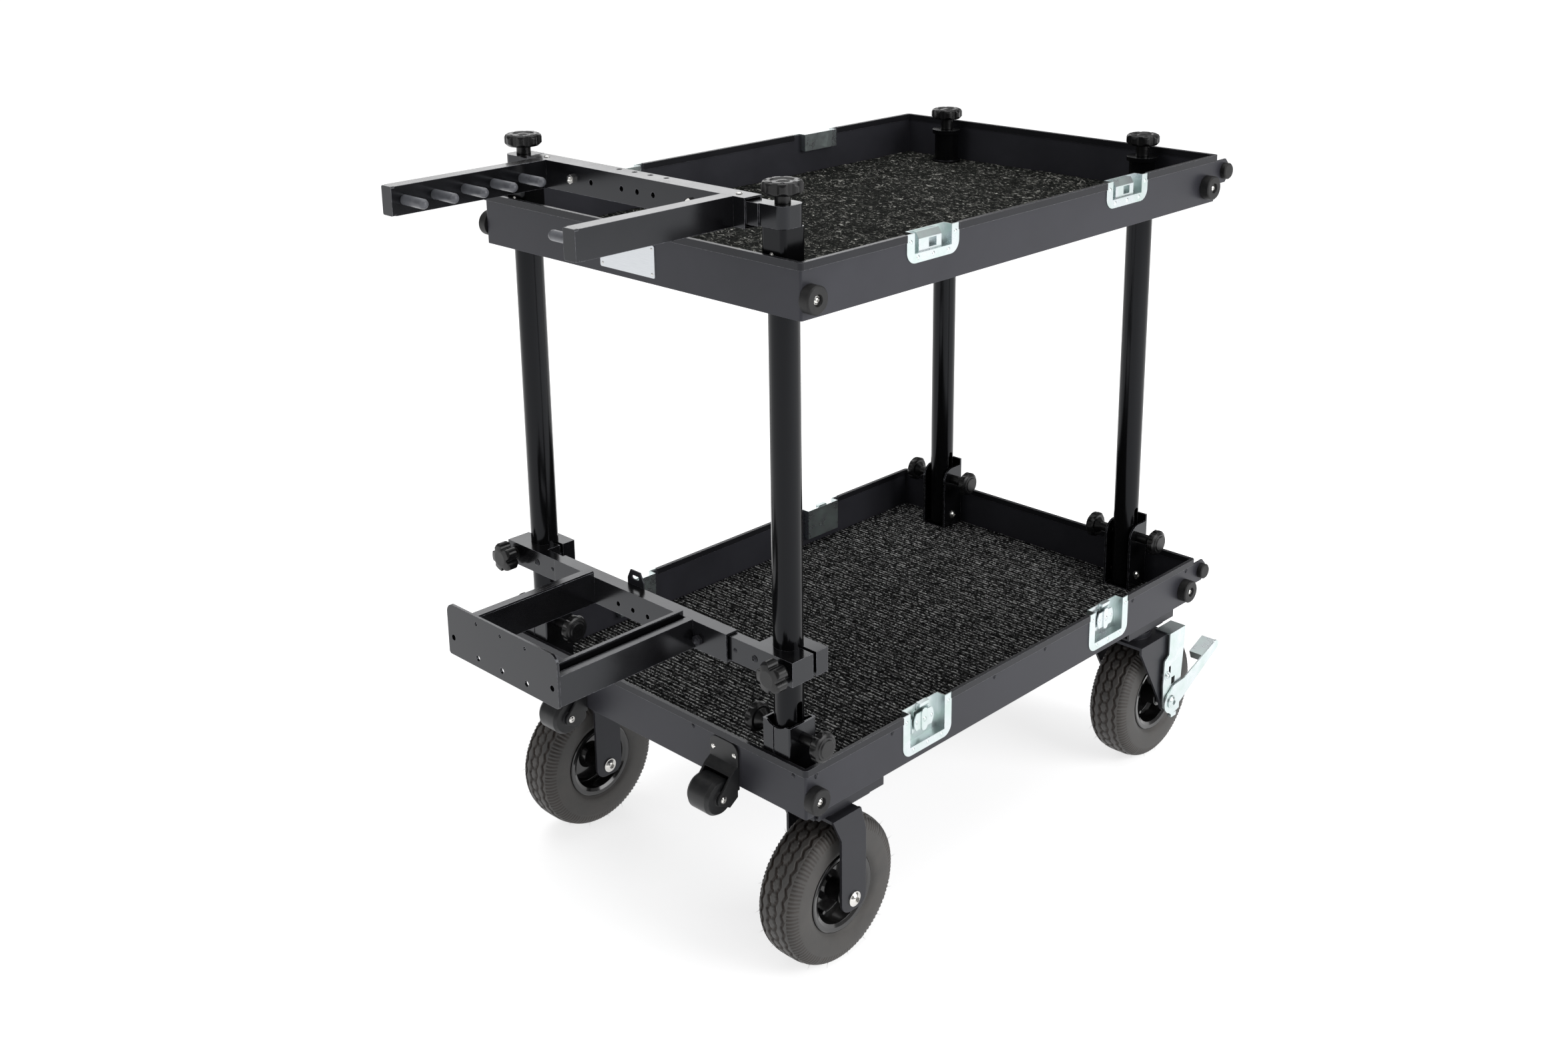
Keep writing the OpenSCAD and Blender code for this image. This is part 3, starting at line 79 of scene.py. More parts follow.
def aim(turn):
    """The camera's own axes as a matrix: its right, its up, and the way back from the cart."""
    yaw, pitch, roll = (math.radians(v) for v in turn)
    back = Vector((
        math.sin(yaw) * math.cos(pitch),
        -math.cos(yaw) * math.cos(pitch),
        math.sin(pitch),
    ))
    level_right = (-back).cross(Vector((0, 0, 1))).normalized()
    level_up = level_right.cross(-back)
    right = math.cos(roll) * level_right + math.sin(roll) * level_up
    up = -math.sin(roll) * level_right + math.cos(roll) * level_up
    return Matrix((right, up, back)).transposed().to_4x4()


camera = bpy.data.cameras.new("cart_camera")
camera.lens = camera_lens
camera.sensor_width = film_width
camera.shift_y = camera_shift
camera.clip_end = sight_limit
camera_object = bpy.data.objects.new("cart_camera", camera)
camera_object.matrix_world = Matrix.Translation(camera_place) @ aim(camera_turn)
scene.collection.objects.link(camera_object)
scene.camera = camera_object
print("camera height:", camera_place.z)

# %% [markdown]
# ## The studio
#
# The cart stands on a white sweep, so its shadow is only a faint grey under the wheels. A real
# sweep curves up into a wall; here a flat floor does the same work, because it glows a little,
# and more with the distance from the cart, until it runs into the white sky without a line.

# %% Screen colours
scene.view_settings.view_transform = "Standard"
scene.view_settings.look = "None"


def linear(r, g, b):
    """Screen colour, 0 to 255, to the linear values that a shader takes."""
    return tuple(
        (v / 255 / 12.92 if v <= 10 else ((v / 255 + 0.055) / 1.055) ** 2.4)
        for v in (r, g, b)
    )


print("white on screen as a shader value:", linear(255, 255, 255))

# %% Floor
floor_half = 40
near_reach, far_reach = 0.9, 3.2  # metres from the middle of the cart
near_glow, far_glow = 0.72, 0.92

floor_mesh = bpy.data.meshes.new("studio_floor")
floor_mesh.from_pydata(
    [(-floor_half, -floor_half, 0), (floor_half, -floor_half, 0),
     (floor_half, floor_half, 0), (-floor_half, floor_half, 0)],
    [], [(0, 1, 2, 3)])
floor_mesh.update()
floor = bpy.data.objects.new("studio_floor", floor_mesh)
scene.collection.objects.link(floor)

floor_paint = bpy.data.materials.new("studio_floor")
floor_paint.use_nodes = True
floor_nodes = floor_paint.node_tree.nodes
floor_links = floor_paint.node_tree.links
floor_shader = floor_nodes["Principled BSDF"]
floor_shader.inputs["Base Color"].default_value = (0.62, 0.62, 0.622, 1)
floor_shader.inputs["Roughness"].default_value = 0.8
floor_shader.inputs["Specular IOR Level"].default_value = 0.05
floor_shader.inputs["Emission Color"].default_value = (1, 1, 1, 1)
floor_spot = floor_nodes.new("ShaderNodeNewGeometry")
floor_reach = floor_nodes.new("ShaderNodeVectorMath")
floor_reach.operation = "LENGTH"
floor_glow = floor_nodes.new("ShaderNodeMapRange")
floor_glow.inputs["From Min"].default_value = near_reach
floor_glow.inputs["From Max"].default_value = far_reach
floor_glow.inputs["To Min"].default_value = near_glow
floor_glow.inputs["To Max"].default_value = far_glow
floor_links.new(floor_spot.outputs["Position"], floor_reach.inputs[0])
floor_links.new(floor_reach.outputs["Value"], floor_glow.inputs["Value"])
floor_links.new(floor_glow.outputs["Result"], floor_shader.inputs["Emission Strength"])
floor_mesh.materials.append(floor_paint)
print("floor side:", 2 * floor_half, "m")

# %% [markdown]
# ## The light
#
# The sky does two jobs. The camera sees it white past the floor, but it lights the cart only
# dimly, so that black stays black: the Light Path node tells the two apart. Big area lights then
# shape the black metal: a strong one on the long side nearest the camera, a weak one on the
# short front end, one behind, and one overhead that draws the light lines along the tray edges.

# %% Sky
sky_fill = 0.26
sky_white = 1.0

world = bpy.data.worlds.new("studio")
world.use_nodes = True
sky = world.node_tree.nodes["Background"]
sky.inputs["Color"].default_value = (1, 1, 1, 1)
sky_seen = world.node_tree.nodes.new("ShaderNodeLightPath")
sky_power = world.node_tree.nodes.new("ShaderNodeMapRange")
sky_power.inputs["To Min"].default_value = sky_fill
sky_power.inputs["To Max"].default_value = sky_white
world.node_tree.links.new(sky_seen.outputs["Is Camera Ray"], sky_power.inputs["Value"])
world.node_tree.links.new(sky_power.outputs["Result"], sky.inputs["Strength"])
scene.world = world
print("sky:", sky_fill, "as light,", sky_white, "as seen")


# %% Soft lights
def softbox(name, place, target, width, height, power):
    """An area light of a size in metres and a power in watts, turned to face a target."""
    light = bpy.data.lights.new(name, "AREA")
    light.shape = "RECTANGLE"
    light.size = width
    light.size_y = height
    light.energy = power
    obj = bpy.data.objects.new(name, light)
    obj.location = place
    obj.rotation_euler = (Vector(target) - Vector(place)).to_track_quat("-Z", "Y").to_euler()
    scene.collection.objects.link(obj)


softbox("light_over", (0.2, 0.2, 4.6), (0, 0, 0), 5.0, 4.0, 125)
softbox("light_long_side", (1.2, -4.2, 2.4), (0, 0, 0.7), 3.4, 2.6, 135)
softbox("light_front_end", (-4.6, 0.9, 2.6), (0, 0, 0.7), 1.6, 2.4, 22)
softbox("light_rear", (2.5, 3.6, 2.8), (0, 0, 0.8), 3.0, 1.6, 30)

# %% [markdown]
# ## Shared effects
#
# Powder coat, anodising, zinc and moulded plastic look different, but the same few things happen
# to all of them: a fine skin texture, slow changes of tone, a worn edge that also carries a
# painted highlight, and a little dust on what faces up. Each is made once as a node group with
# named sockets, and every material sets its own values. The groups only give masks, heights and
# normals; the shader itself stays in each material.


# %% A small kit for building node groups
def new_group(name, inputs, outputs):
    """An empty group with number inputs and their first values, and outputs of given kinds."""
    tree = bpy.data.node_groups.new(name, "ShaderNodeTree")
    for label, value in inputs:
        socket = tree.interface.new_socket(
            name=label, in_out="INPUT", socket_type="NodeSocketFloat")
        socket.default_value = value
    for label, kind in outputs:
        tree.interface.new_socket(name=label, in_out="OUTPUT", socket_type="NodeSocket" + kind)
    return tree, tree.nodes.new("NodeGroupInput"), tree.nodes.new("NodeGroupOutput")


def put(tree, source, target):
    """Feeds a socket from another socket or from a plain value."""
    if isinstance(source, (int, float)):
        target.default_value = source
    elif isinstance(source, tuple):
        target.default_value = source if len(source) == 4 else (*source, 1)
    else:
        tree.links.new(source, target)


def combine(tree, kind, a, b, clamp=False):
    """Adds, subtracts or multiplies two values, held between 0 and 1 if clamp is set."""
    node = tree.nodes.new("ShaderNodeMath")
    node.operation = kind
    node.use_clamp = clamp
    put(tree, a, node.inputs[0])
    put(tree, b, node.inputs[1])
    return node.outputs[0]


def place_of(tree):
    """Places on the object, in metres, so that a pattern keeps its real size."""
    return tree.nodes.new("ShaderNodeTexCoord").outputs["Object"]


def noise(tree, scale, detail=3.0, rough=0.5, distort=0.0, where=None):
    """Cloudy noise; a scale of 1000 makes grains about a millimetre apart."""
    node = tree.nodes.new("ShaderNodeTexNoise")
    put(tree, where or place_of(tree), node.inputs["Vector"])
    put(tree, scale, node.inputs["Scale"])
    node.inputs["Detail"].default_value = detail
    node.inputs["Roughness"].default_value = rough
    node.inputs["Distortion"].default_value = distort
    return node.outputs["Fac"]


def step_between(tree, value, low, high, to_low=0.0, to_high=1.0):
    """Runs from one value to another while the given value runs from low to high."""
    node = tree.nodes.new("ShaderNodeMapRange")
    node.clamp = True
    put(tree, value, node.inputs["Value"])
    put(tree, low, node.inputs["From Min"])
    put(tree, high, node.inputs["From Max"])
    put(tree, to_low, node.inputs["To Min"])
    put(tree, to_high, node.inputs["To Max"])
    return node.outputs[0]


def between(tree, mask, a, b):
    """Colour a where the mask is 0 and colour b where it is 1."""
    node = tree.nodes.new("ShaderNodeMix")
    node.data_type = "RGBA"
    factor, colour_a, colour_b, colour_out = 0, 6, 7, 2  # it has sockets for every data type
    put(tree, mask, node.inputs[factor])
    put(tree, a, node.inputs[colour_a])
    put(tree, b, node.inputs[colour_b])
    return node.outputs[colour_out]


print("kit:", *(helper.__name__ for helper in (
    new_group, put, combine, place_of, noise, step_between, between)))


# %% Skin texture of a coating: fine grain and slow clouds
skin, skin_in, skin_out = new_group(
    "coating_skin",
    [("Grain Scale", 900.0), ("Cloud Scale", 9.0)],
    [("Height", "Float"), ("Clouds", "Float")],
)
grain = noise(skin, skin_in.outputs["Grain Scale"], 2.0, 0.55)
clouds = noise(skin, skin_in.outputs["Cloud Scale"], 4.0, 0.6, 0.4)
skin.links.new(grain, skin_out.inputs["Height"])
skin.links.new(clouds, skin_out.inputs["Clouds"])
print(skin.name, "gives", [socket.name for socket in skin_out.inputs if socket.name])

# %% Edges: where a rounded normal differs from the flat one, the coat is worn and a highlight painted
edge, edge_in, edge_out = new_group(
    "worn_and_highlit_edge",
    [("Radius", 0.0012), ("Breakup Scale", 160.0), ("Amount", 0.6)],
    [("Mask", "Float"), ("Normal", "Vector")],
)
round_edge = edge.nodes.new("ShaderNodeBevel")
round_edge.samples = 4
edge.links.new(edge_in.outputs["Radius"], round_edge.inputs["Radius"])
facing = edge.nodes.new("ShaderNodeNewGeometry")
alike = edge.nodes.new("ShaderNodeVectorMath")
alike.operation = "DOT_PRODUCT"
edge.links.new(round_edge.outputs[0], alike.inputs[0])
edge.links.new(facing.outputs["Normal"], alike.inputs[1])
nearly_flat, sharply_bent = 0.995, 0.86  # cosines between the rounded and the flat normal
curve = step_between(edge, alike.outputs["Value"], nearly_flat, sharply_bent)
# the coat wears through in patches, and the painted edge highlight breaks up with it
patchy = step_between(
    edge, noise(edge, edge_in.outputs["Breakup Scale"], 3.0, 0.6), 0.3, 0.62)
patchy_edge = combine(edge, "MULTIPLY", curve, patchy)
edge_wear_and_highlight = combine(edge, "MULTIPLY", patchy_edge, edge_in.outputs["Amount"], True)
edge.links.new(edge_wear_and_highlight, edge_out.inputs["Mask"])
edge.links.new(round_edge.outputs[0], edge_out.inputs["Normal"])
print(edge.name, "gives", [socket.name for socket in edge_out.inputs if socket.name])

# %% Dust: settles on what faces up, in soft patches
dust, dust_in, dust_out = new_group(
    "settled_dust",
    [("Amount", 0.2), ("Patch Scale", 30.0)],
    [("Mask", "Float")],
)
dust_facing = dust.nodes.new("ShaderNodeNewGeometry")
dust_up = dust.nodes.new("ShaderNodeSeparateXYZ")
dust.links.new(dust_facing.outputs["Normal"], dust_up.inputs[0])
upward = step_between(dust, dust_up.outputs["Z"], -0.1, 1.0, 0.25, 1.0)
patches = step_between(
    dust, noise(dust, dust_in.outputs["Patch Scale"], 5.0, 0.65), 0.35, 0.75)
lying = combine(dust, "MULTIPLY", upward, patches)
settled = combine(dust, "MULTIPLY", lying, dust_in.outputs["Amount"], True)
dust.links.new(settled, dust_out.inputs["Mask"])
print(dust.name, "gives", [socket.name for socket in dust_out.inputs if socket.name])


# %% Use a group in a material
def use(tree, group, **values):
    """Places a group in a material, with its own values for the named inputs."""
    node = tree.nodes.new("ShaderNodeGroup")
    node.node_tree = group
    for label, value in values.items():
        put(tree, value, node.inputs[label.replace("_", " ")])
    return node.outputs


def bump(tree, height, depth, normal=None):
    """Fine relief of a depth in metres, laid over a rounded normal if there is one."""
    node = tree.nodes.new("ShaderNodeBump")
    node.inputs["Strength"].default_value = 1.0
    node.inputs["Distance"].default_value = depth
    put(tree, height, node.inputs["Height"])
    if normal is not None:
        put(tree, normal, node.inputs["Normal"])
    return node.outputs[0]


def new_finish(name):
    material = bpy.data.materials.new(name)
    material.use_nodes = True
    tree = material.node_tree
    return material, tree, tree.nodes["Principled BSDF"]


print("node groups:", sorted(group.name for group in bpy.data.node_groups))

# %% [markdown]
# ## Black coatings
#
# Almost every metal part of the cart is black, but not the same black. The trays are satin
# powder coat with a fine orange-peel skin, the edging and brackets are a little smoother, and
# the posts are anodised tube that takes a long soft highlight. One function makes them all from
# a base colour, a roughness and the depth of the skin, because what changes is only how much
# each effect shows. Black metal mirrors the cool light a little blue, so the highlights are
# tinted.

# %% Black coating
darker_cloud, lighter_cloud = 0.86, 1.16  # the slow drift of the base colour
cool_highlight = (0.90, 0.93, 1.0, 1)
dry_dust = 0.4  # how much a full layer of dust adds to the roughness


def black_coating(name, base, edge_wear_and_highlight, rough, spread, grain_depth, wear_and_highlight_amount, dusty,
                  grain=900.0, shine=0.3):
    material, tree, shader = new_finish(name)
    coat = use(tree, skin, Grain_Scale=grain, Cloud_Scale=7.0)
    worn_and_lit_edge = use(tree, edge, Radius=0.0010, Amount=wear_and_highlight_amount)
    film = use(tree, dust, Amount=dusty, Patch_Scale=26.0)
    tone = between(
        tree,
        step_between(tree, coat["Clouds"], 0.3, 0.7),
        tuple(v * darker_cloud for v in base),
        tuple(v * lighter_cloud for v in base),
    )
    # painted highlight: edges take a light colour, partly real wear and partly standing in for
    # light
    tone = between(tree, worn_and_lit_edge["Mask"], tone, edge_wear_and_highlight)
    tone = between(tree, film["Mask"], tone, linear(128, 124, 118))
    put(tree, tone, shader.inputs["Base Color"])
    clouded = step_between(tree, coat["Clouds"], 0.25, 0.75, rough - spread, rough + spread)
    dusted = combine(tree, "MULTIPLY", film["Mask"], dry_dust)
    put(tree, combine(tree, "ADD", clouded, dusted, True), shader.inputs["Roughness"])
    relief = bump(tree, coat["Height"], grain_depth, worn_and_lit_edge["Normal"])
    put(tree, relief, shader.inputs["Normal"])
    shader.inputs["Specular IOR Level"].default_value = shine
    shader.inputs["Specular Tint"].default_value = cool_highlight
    return material


# %% The five black finishes
tray_black = black_coating(
    "tray_powder_coat", linear(44, 44, 49), edge_wear_and_highlight=linear(120, 120, 126),
    rough=0.38, spread=0.06, grain_depth=0.00005, wear_and_highlight_amount=0.5, dusty=0.02)
edging_black = black_coating(
    "edging_black", linear(26, 26, 29), edge_wear_and_highlight=linear(170, 170, 176),
    rough=0.30, spread=0.05, grain_depth=0.00003, wear_and_highlight_amount=0.8, dusty=0.02)
bracket_black = black_coating(
    "bracket_powder_coat", linear(10, 10, 12), edge_wear_and_highlight=linear(170, 170, 178),
    rough=0.19, spread=0.05, grain_depth=0.00002, wear_and_highlight_amount=0.9, dusty=0.02, shine=0.46)
frame_black = black_coating(
    "fork_powder_coat", linear(34, 34, 38), edge_wear_and_highlight=linear(120, 120, 124),
    rough=0.34, spread=0.06, grain_depth=0.00006, wear_and_highlight_amount=0.5, dusty=0.03)
tube_black = black_coating(
    "post_anodised", linear(8, 8, 9), edge_wear_and_highlight=linear(84, 84, 88),
    rough=0.16, spread=0.03, grain_depth=0.000003, wear_and_highlight_amount=0.25, dusty=0.0, grain=1500.0, shine=0.2)
print("black finishes:", [finish.name for finish in (
    tray_black, edging_black, bracket_black, frame_black, tube_black)])

# %% [markdown]
# ## Bright metal
#
# The latch dishes are pressed steel with blue-white zinc plate. Zinc is not a mirror: its tone
# drifts from blue to green, and it has small dull spots. The bolts are plain stainless steel,
# smoother and warmer. Both use full metallic shading, with the drift in colour and roughness
# coming from two sizes of noise. The small plate on the upper tray is brushed aluminium: noise
# squeezed along one direction gives it lines.

# %% Zinc plate and stainless steel
plate_relief = 0.00003
spot_tint, spot_dulling = 0.14, 0.06  # what a dull spot does to the colour and the roughness


def bright_metal(name, cool, warm, rough, spread, spot_scale, wear_and_highlight_amount):
    material, tree, shader = new_finish(name)
    plating = use(tree, skin, Grain_Scale=520.0, Cloud_Scale=34.0)
    rounded = use(tree, edge, Radius=0.0007, Amount=wear_and_highlight_amount)
    spots = step_between(tree, noise(tree, spot_scale, 4.0, 0.7), 0.58, 0.72)
    drift = step_between(tree, plating["Clouds"], 0.32, 0.68)
    tone = between(tree, drift, cool, warm)
    spotted = combine(tree, "MULTIPLY", spots, spot_tint)
    tone = between(tree, spotted, tone, linear(150, 160, 158))
    put(tree, tone, shader.inputs["Base Color"])
    shader.inputs["Metallic"].default_value = 1.0
    grey = step_between(tree, plating["Clouds"], 0.3, 0.7, rough - spread, rough + spread)
    dulled = combine(tree, "MULTIPLY", spots, spot_dulling)
    put(tree, combine(tree, "ADD", grey, dulled, True), shader.inputs["Roughness"])
    relief = bump(tree, plating["Height"], plate_relief, rounded["Normal"])
    put(tree, relief, shader.inputs["Normal"])
    return material


zinc_plate = bright_metal(
    "zinc_plate", cool=linear(216, 222, 225), warm=linear(200, 214, 211),
    rough=0.30, spread=0.06, spot_scale=260.0, wear_and_highlight_amount=0.3)
bright_steel = bright_metal(
    "bright_bolt_steel", cool=linear(226, 224, 220), warm=linear(206, 205, 202),
    rough=0.2, spread=0.05, spot_scale=420.0, wear_and_highlight_amount=0.2)
print("plated finishes:", zinc_plate.name, bright_steel.name)

# %% Blank plate: brushed aluminium, with the brush lines along its length
brush_squeeze = 0.03  # of the noise's size along the plate

blank_plate, tree, shader = new_finish("blank_plate_brushed")
stretch = tree.nodes.new("ShaderNodeMapping")
stretch.inputs["Scale"].default_value = (1, brush_squeeze, 1)
put(tree, place_of(tree), stretch.inputs["Vector"])
brush = noise(tree, 1400.0, 2.0, 0.6, 0.0, stretch.outputs[0])
brushed_tone = between(tree, brush, linear(196, 200, 204), linear(226, 229, 232))
put(tree, brushed_tone, shader.inputs["Base Color"])
shader.inputs["Metallic"].default_value = 0.75
put(tree, step_between(tree, brush, 0.3, 0.7, 0.34, 0.46), shader.inputs["Roughness"])
put(tree, bump(tree, brush, 0.00002), shader.inputs["Normal"])
print("brushed finish:", blank_plate.name)

# %% [markdown]
# ## Plastic and rubber
#
# The knobs are moulded plastic with a fine matt grain, a little greyer where hands polish the
# lobes, and the bumpers are a duller rubber with the same skin. The pegs are a smoky plastic
# that lets some light through, so they are lighter than the arms that carry them.

# %% Moulded plastic
moulded_spread = 0.06


def moulded(name, base, polished, rough, grain_depth, dusty):
    material, tree, shader = new_finish(name)
    mould_skin = use(tree, skin, Grain_Scale=1300.0, Cloud_Scale=40.0)
    touched = use(tree, edge, Radius=0.0020, Amount=0.5, Breakup_Scale=90.0)
    film = use(tree, dust, Amount=dusty, Patch_Scale=70.0)
    tone = between(tree, touched["Mask"], base, polished)
    tone = between(tree, film["Mask"], tone, linear(120, 117, 112))
    put(tree, tone, shader.inputs["Base Color"])
    uneven = step_between(
        tree, mould_skin["Clouds"], 0.3, 0.7, rough - moulded_spread, rough + moulded_spread)
    put(tree, uneven, shader.inputs["Roughness"])
    relief = bump(tree, mould_skin["Height"], grain_depth, touched["Normal"])
    put(tree, relief, shader.inputs["Normal"])
    shader.inputs["Specular IOR Level"].default_value = 0.38
    return material


knob_plastic = moulded(
    "knob_plastic", linear(10, 10, 11), polished=linear(58, 58, 61),
    rough=0.30, grain_depth=0.00004, dusty=0.02)
roller_plastic = moulded(
    "roller_plastic", linear(24, 25, 27), polished=linear(60, 62, 64),
    rough=0.38, grain_depth=0.00006, dusty=0.08)
bumper_rubber = moulded(
    "bumper_rubber", linear(18, 18, 19), polished=linear(48, 48, 49),
    rough=0.55, grain_depth=0.00008, dusty=0.08)
print("moulded finishes:", knob_plastic.name, roller_plastic.name, bumper_rubber.name)

# %% Smoky pegs
peg_plastic, tree, shader = new_finish("smoky_peg_plastic")
peg_skin = use(tree, skin, Grain_Scale=700.0, Cloud_Scale=60.0)
smoke = step_between(tree, peg_skin["Clouds"], 0.3, 0.7)
smoky_tone = between(tree, smoke, linear(96, 98, 104), linear(120, 122, 128))
put(tree, smoky_tone, shader.inputs["Base Color"])
put(tree, step_between(tree, peg_skin["Clouds"], 0.3, 0.7, 0.26, 0.40), shader.inputs["Roughness"])
put(tree, bump(tree, peg_skin["Height"], 0.00003), shader.inputs["Normal"])
shader.inputs["Transmission Weight"].default_value = 0.45
shader.inputs["IOR"].default_value = 1.46
print("smoky finish:", peg_plastic.name)

# %% [markdown]
# ## Wheels
#
# The rims are painted gloss black, with a clear coat over the paint that gives a second, sharper
# highlight. The tyres are brown-grey rubber: nearly no gloss, pale dust that lies in patches, and
# grooves with dark shade painted into their colour. The tyre meshes made further down carry a
# value called groove_depth at each point, and the material reads it to know where the grooves are.

# %% Gloss black wheel rims
rim_gloss, tree, shader = new_finish("rim_gloss_black")
rim_skin = use(tree, skin, Grain_Scale=300.0, Cloud_Scale=24.0)
rim_edge = use(tree, edge, Radius=0.0016, Amount=0.35)
rim_film = use(tree, dust, Amount=0.10, Patch_Scale=60.0)
rim_tone = between(tree, rim_edge["Mask"], linear(17, 17, 18), linear(92, 92, 96))
rim_tone = between(tree, rim_film["Mask"], rim_tone, linear(96, 92, 86))
put(tree, rim_tone, shader.inputs["Base Color"])
put(tree, step_between(tree, rim_skin["Clouds"], 0.3, 0.7, 0.10, 0.20), shader.inputs["Roughness"])
put(tree, bump(tree, rim_skin["Height"], 0.00004, rim_edge["Normal"]), shader.inputs["Normal"])
shader.inputs["Coat Weight"].default_value = 0.5
shader.inputs["Coat Roughness"].default_value = 0.06
print("rim finish:", rim_gloss.name)

# %% Tyre rubber: brown-grey and dusty, with dark brown shade painted into the grooves
groove_painted_shade = 1.1

tyre_rubber, tree, shader = new_finish("tyre_rubber")
tyre_skin = use(tree, skin, Grain_Scale=620.0, Cloud_Scale=18.0)
tyre_film = use(tree, dust, Amount=0.16, Patch_Scale=16.0)
groove = tree.nodes.new("ShaderNodeAttribute")
groove.attribute_name = "groove_depth"
shaded_grooves = combine(tree, "MULTIPLY", groove.outputs["Fac"], groove_painted_shade, True)
tyre_clouds = step_between(tree, tyre_skin["Clouds"], 0.3, 0.7)
tyre_tone = between(tree, tyre_clouds, linear(54, 53, 52), linear(72, 70, 68))
# painted shade: the grooves are coloured dark brown as if shade lay in them
tyre_tone = between(tree, shaded_grooves, tyre_tone, linear(36, 27, 21))
tyre_tone = between(tree, tyre_film["Mask"], tyre_tone, linear(116, 106, 96))
put(tree, tyre_tone, shader.inputs["Base Color"])
tyre_rough = step_between(tree, tyre_skin["Clouds"], 0.3, 0.7, 0.48, 0.64)
put(tree, tyre_rough, shader.inputs["Roughness"])
put(tree, bump(tree, tyre_skin["Height"], 0.00018), shader.inputs["Normal"])
print("tyre finish:", tyre_rubber.name)

# %% [markdown]
# ## Finishes on the CAD pieces
#
# Each CAD node already names a slot in the part's record, so one table from slot to finish
# paints them all; only the two carpets, which are replaced further down, have no entry. The
# imported meshes are shaded smooth, with a crease wherever two faces meet at more than thirty
# degrees, so that turned parts look round and folded sheet looks folded.

# %% Paint the CAD pieces
finish_of_slot = {
    "deck_black": tray_black,
    "edging_black": edging_black,
    "steel_black": frame_black,
    "bracket_black": bracket_black,
    "tube_black": tube_black,
    "zinc": zinc_plate,
    "bright_bolt": bright_steel,
    "bumper_rubber": bumper_rubber,
    "roller_plastic": roller_plastic,
    "label_metal": blank_plate,
    "peg_clear": peg_plastic,
    "knob_plastic": knob_plastic,
    "rim_black": rim_gloss,
    "tyre_rubber": tyre_rubber,
}
slot_of_node = {s["node"]: s["material_slot"] for s in frame["record"]["subparts"]}
crease = math.radians(30)  # faces that meet at more than this keep a sharp edge


def paint(obj, finish):
    obj.data.materials.clear()
    obj.data.materials.append(finish)
    for polygon in obj.data.polygons:
        polygon.material_index = 0


for node_name, obj in nodes.items():
    finish = finish_of_slot.get(slot_of_node[node_name])
    if finish:
        paint(obj, finish)
    obj.data.shade_smooth()
    obj.data.set_sharp_from_angle(angle=crease)
print("painted:", sum(1 for name in nodes if slot_of_node[name] in finish_of_slot))

# %% [markdown]
# ## Carpet yarn
#
# The upper tray has a curly loop carpet and the lower one a ribbed carpet, both spun from black
# and pale grey yarn, so from a distance they read as salt and pepper. The yarn colours come from
# a stretched, curled noise of a few millimetres, and its own height gives the loops some relief.
# The meshes made further down carry a value called pile_height, which the material uses to
# paint shade into the gaps.

# %% Yarn colours and the pile's fine height
yarn_slant = math.radians(38)
yarn_stretch = 0.55
fibres_per_loop = 2.3
pale_border = 0.12  # how softly pale yarn turns into grey

yarn, yarn_in, yarn_out = new_group(
    "carpet_yarn",
    [("Loop Scale", 230.0), ("Pale Share", 0.4)],
    [("Pale", "Float"), ("Grey", "Float"), ("Height", "Float")],
)
slant = yarn.nodes.new("ShaderNodeMapping")
slant.inputs["Rotation"].default_value = (0, 0, yarn_slant)
slant.inputs["Scale"].default_value = (1.0, yarn_stretch, 1.0)
put(yarn, place_of(yarn), slant.inputs["Vector"])
loops = noise(yarn, yarn_in.outputs["Loop Scale"], 3.0, 0.6, 2.2, slant.outputs[0])
fibre_scale = combine(yarn, "MULTIPLY", yarn_in.outputs["Loop Scale"], fibres_per_loop)
fibres = noise(yarn, fibre_scale, 2.0, 0.6, 1.2)
pale_lead = combine(yarn, "MULTIPLY", yarn_in.outputs["Pale Share"], 0.5)
cut = combine(yarn, "SUBTRACT", 0.80, pale_lead)
frayed = combine(yarn, "ADD", loops, combine(yarn, "MULTIPLY", fibres, 0.12))
pale = step_between(yarn, frayed, cut, combine(yarn, "ADD", cut, pale_border))
grey = step_between(yarn, combine(yarn, "ADD", loops, fibres), 0.86, 1.14)
height = combine(yarn, "ADD", loops, combine(yarn, "MULTIPLY", fibres, 0.5))
yarn.links.new(pale, yarn_out.inputs["Pale"])
yarn.links.new(grey, yarn_out.inputs["Grey"])
yarn.links.new(height, yarn_out.inputs["Height"])
print(yarn.name, "gives", [socket.name for socket in yarn_out.inputs if socket.name])

# %% Carpet finishes
# painted shade: where the pile lies low, the colour turns near black as if shade fell there
painted_shade_reach = 0.52  # the share of the pile's height over which a gap turns dark
deepest_painted_shade = 0.96


def carpet_finish(name, loop_scale, pale_share, dark, grey, light, depth, lit_from):
    """Yarn in three tones, painted dark with shade where the pile is lower than its lit height."""
    material, tree, shader = new_finish(name)
    spun = use(tree, yarn, Loop_Scale=loop_scale, Pale_Share=pale_share)
    low = tree.nodes.new("ShaderNodeAttribute")
    low.attribute_name = "pile_height"
    tone = between(tree, spun["Grey"], dark, grey)
    tone = between(tree, spun["Pale"], tone, light)
    # painted shade in the gaps of the pile, mixed into the colour
    painted_gap_shade = step_between(
        tree, low.outputs["Fac"], lit_from - painted_shade_reach, lit_from, deepest_painted_shade, 0.0)
    put(tree, between(tree, painted_gap_shade, tone, linear(4, 4, 4)), shader.inputs["Base Color"])
    shader.inputs["Roughness"].default_value = 0.95
    shader.inputs["Specular IOR Level"].default_value = 0.06
    put(tree, bump(tree, spun["Height"], depth), shader.inputs["Normal"])
    return material


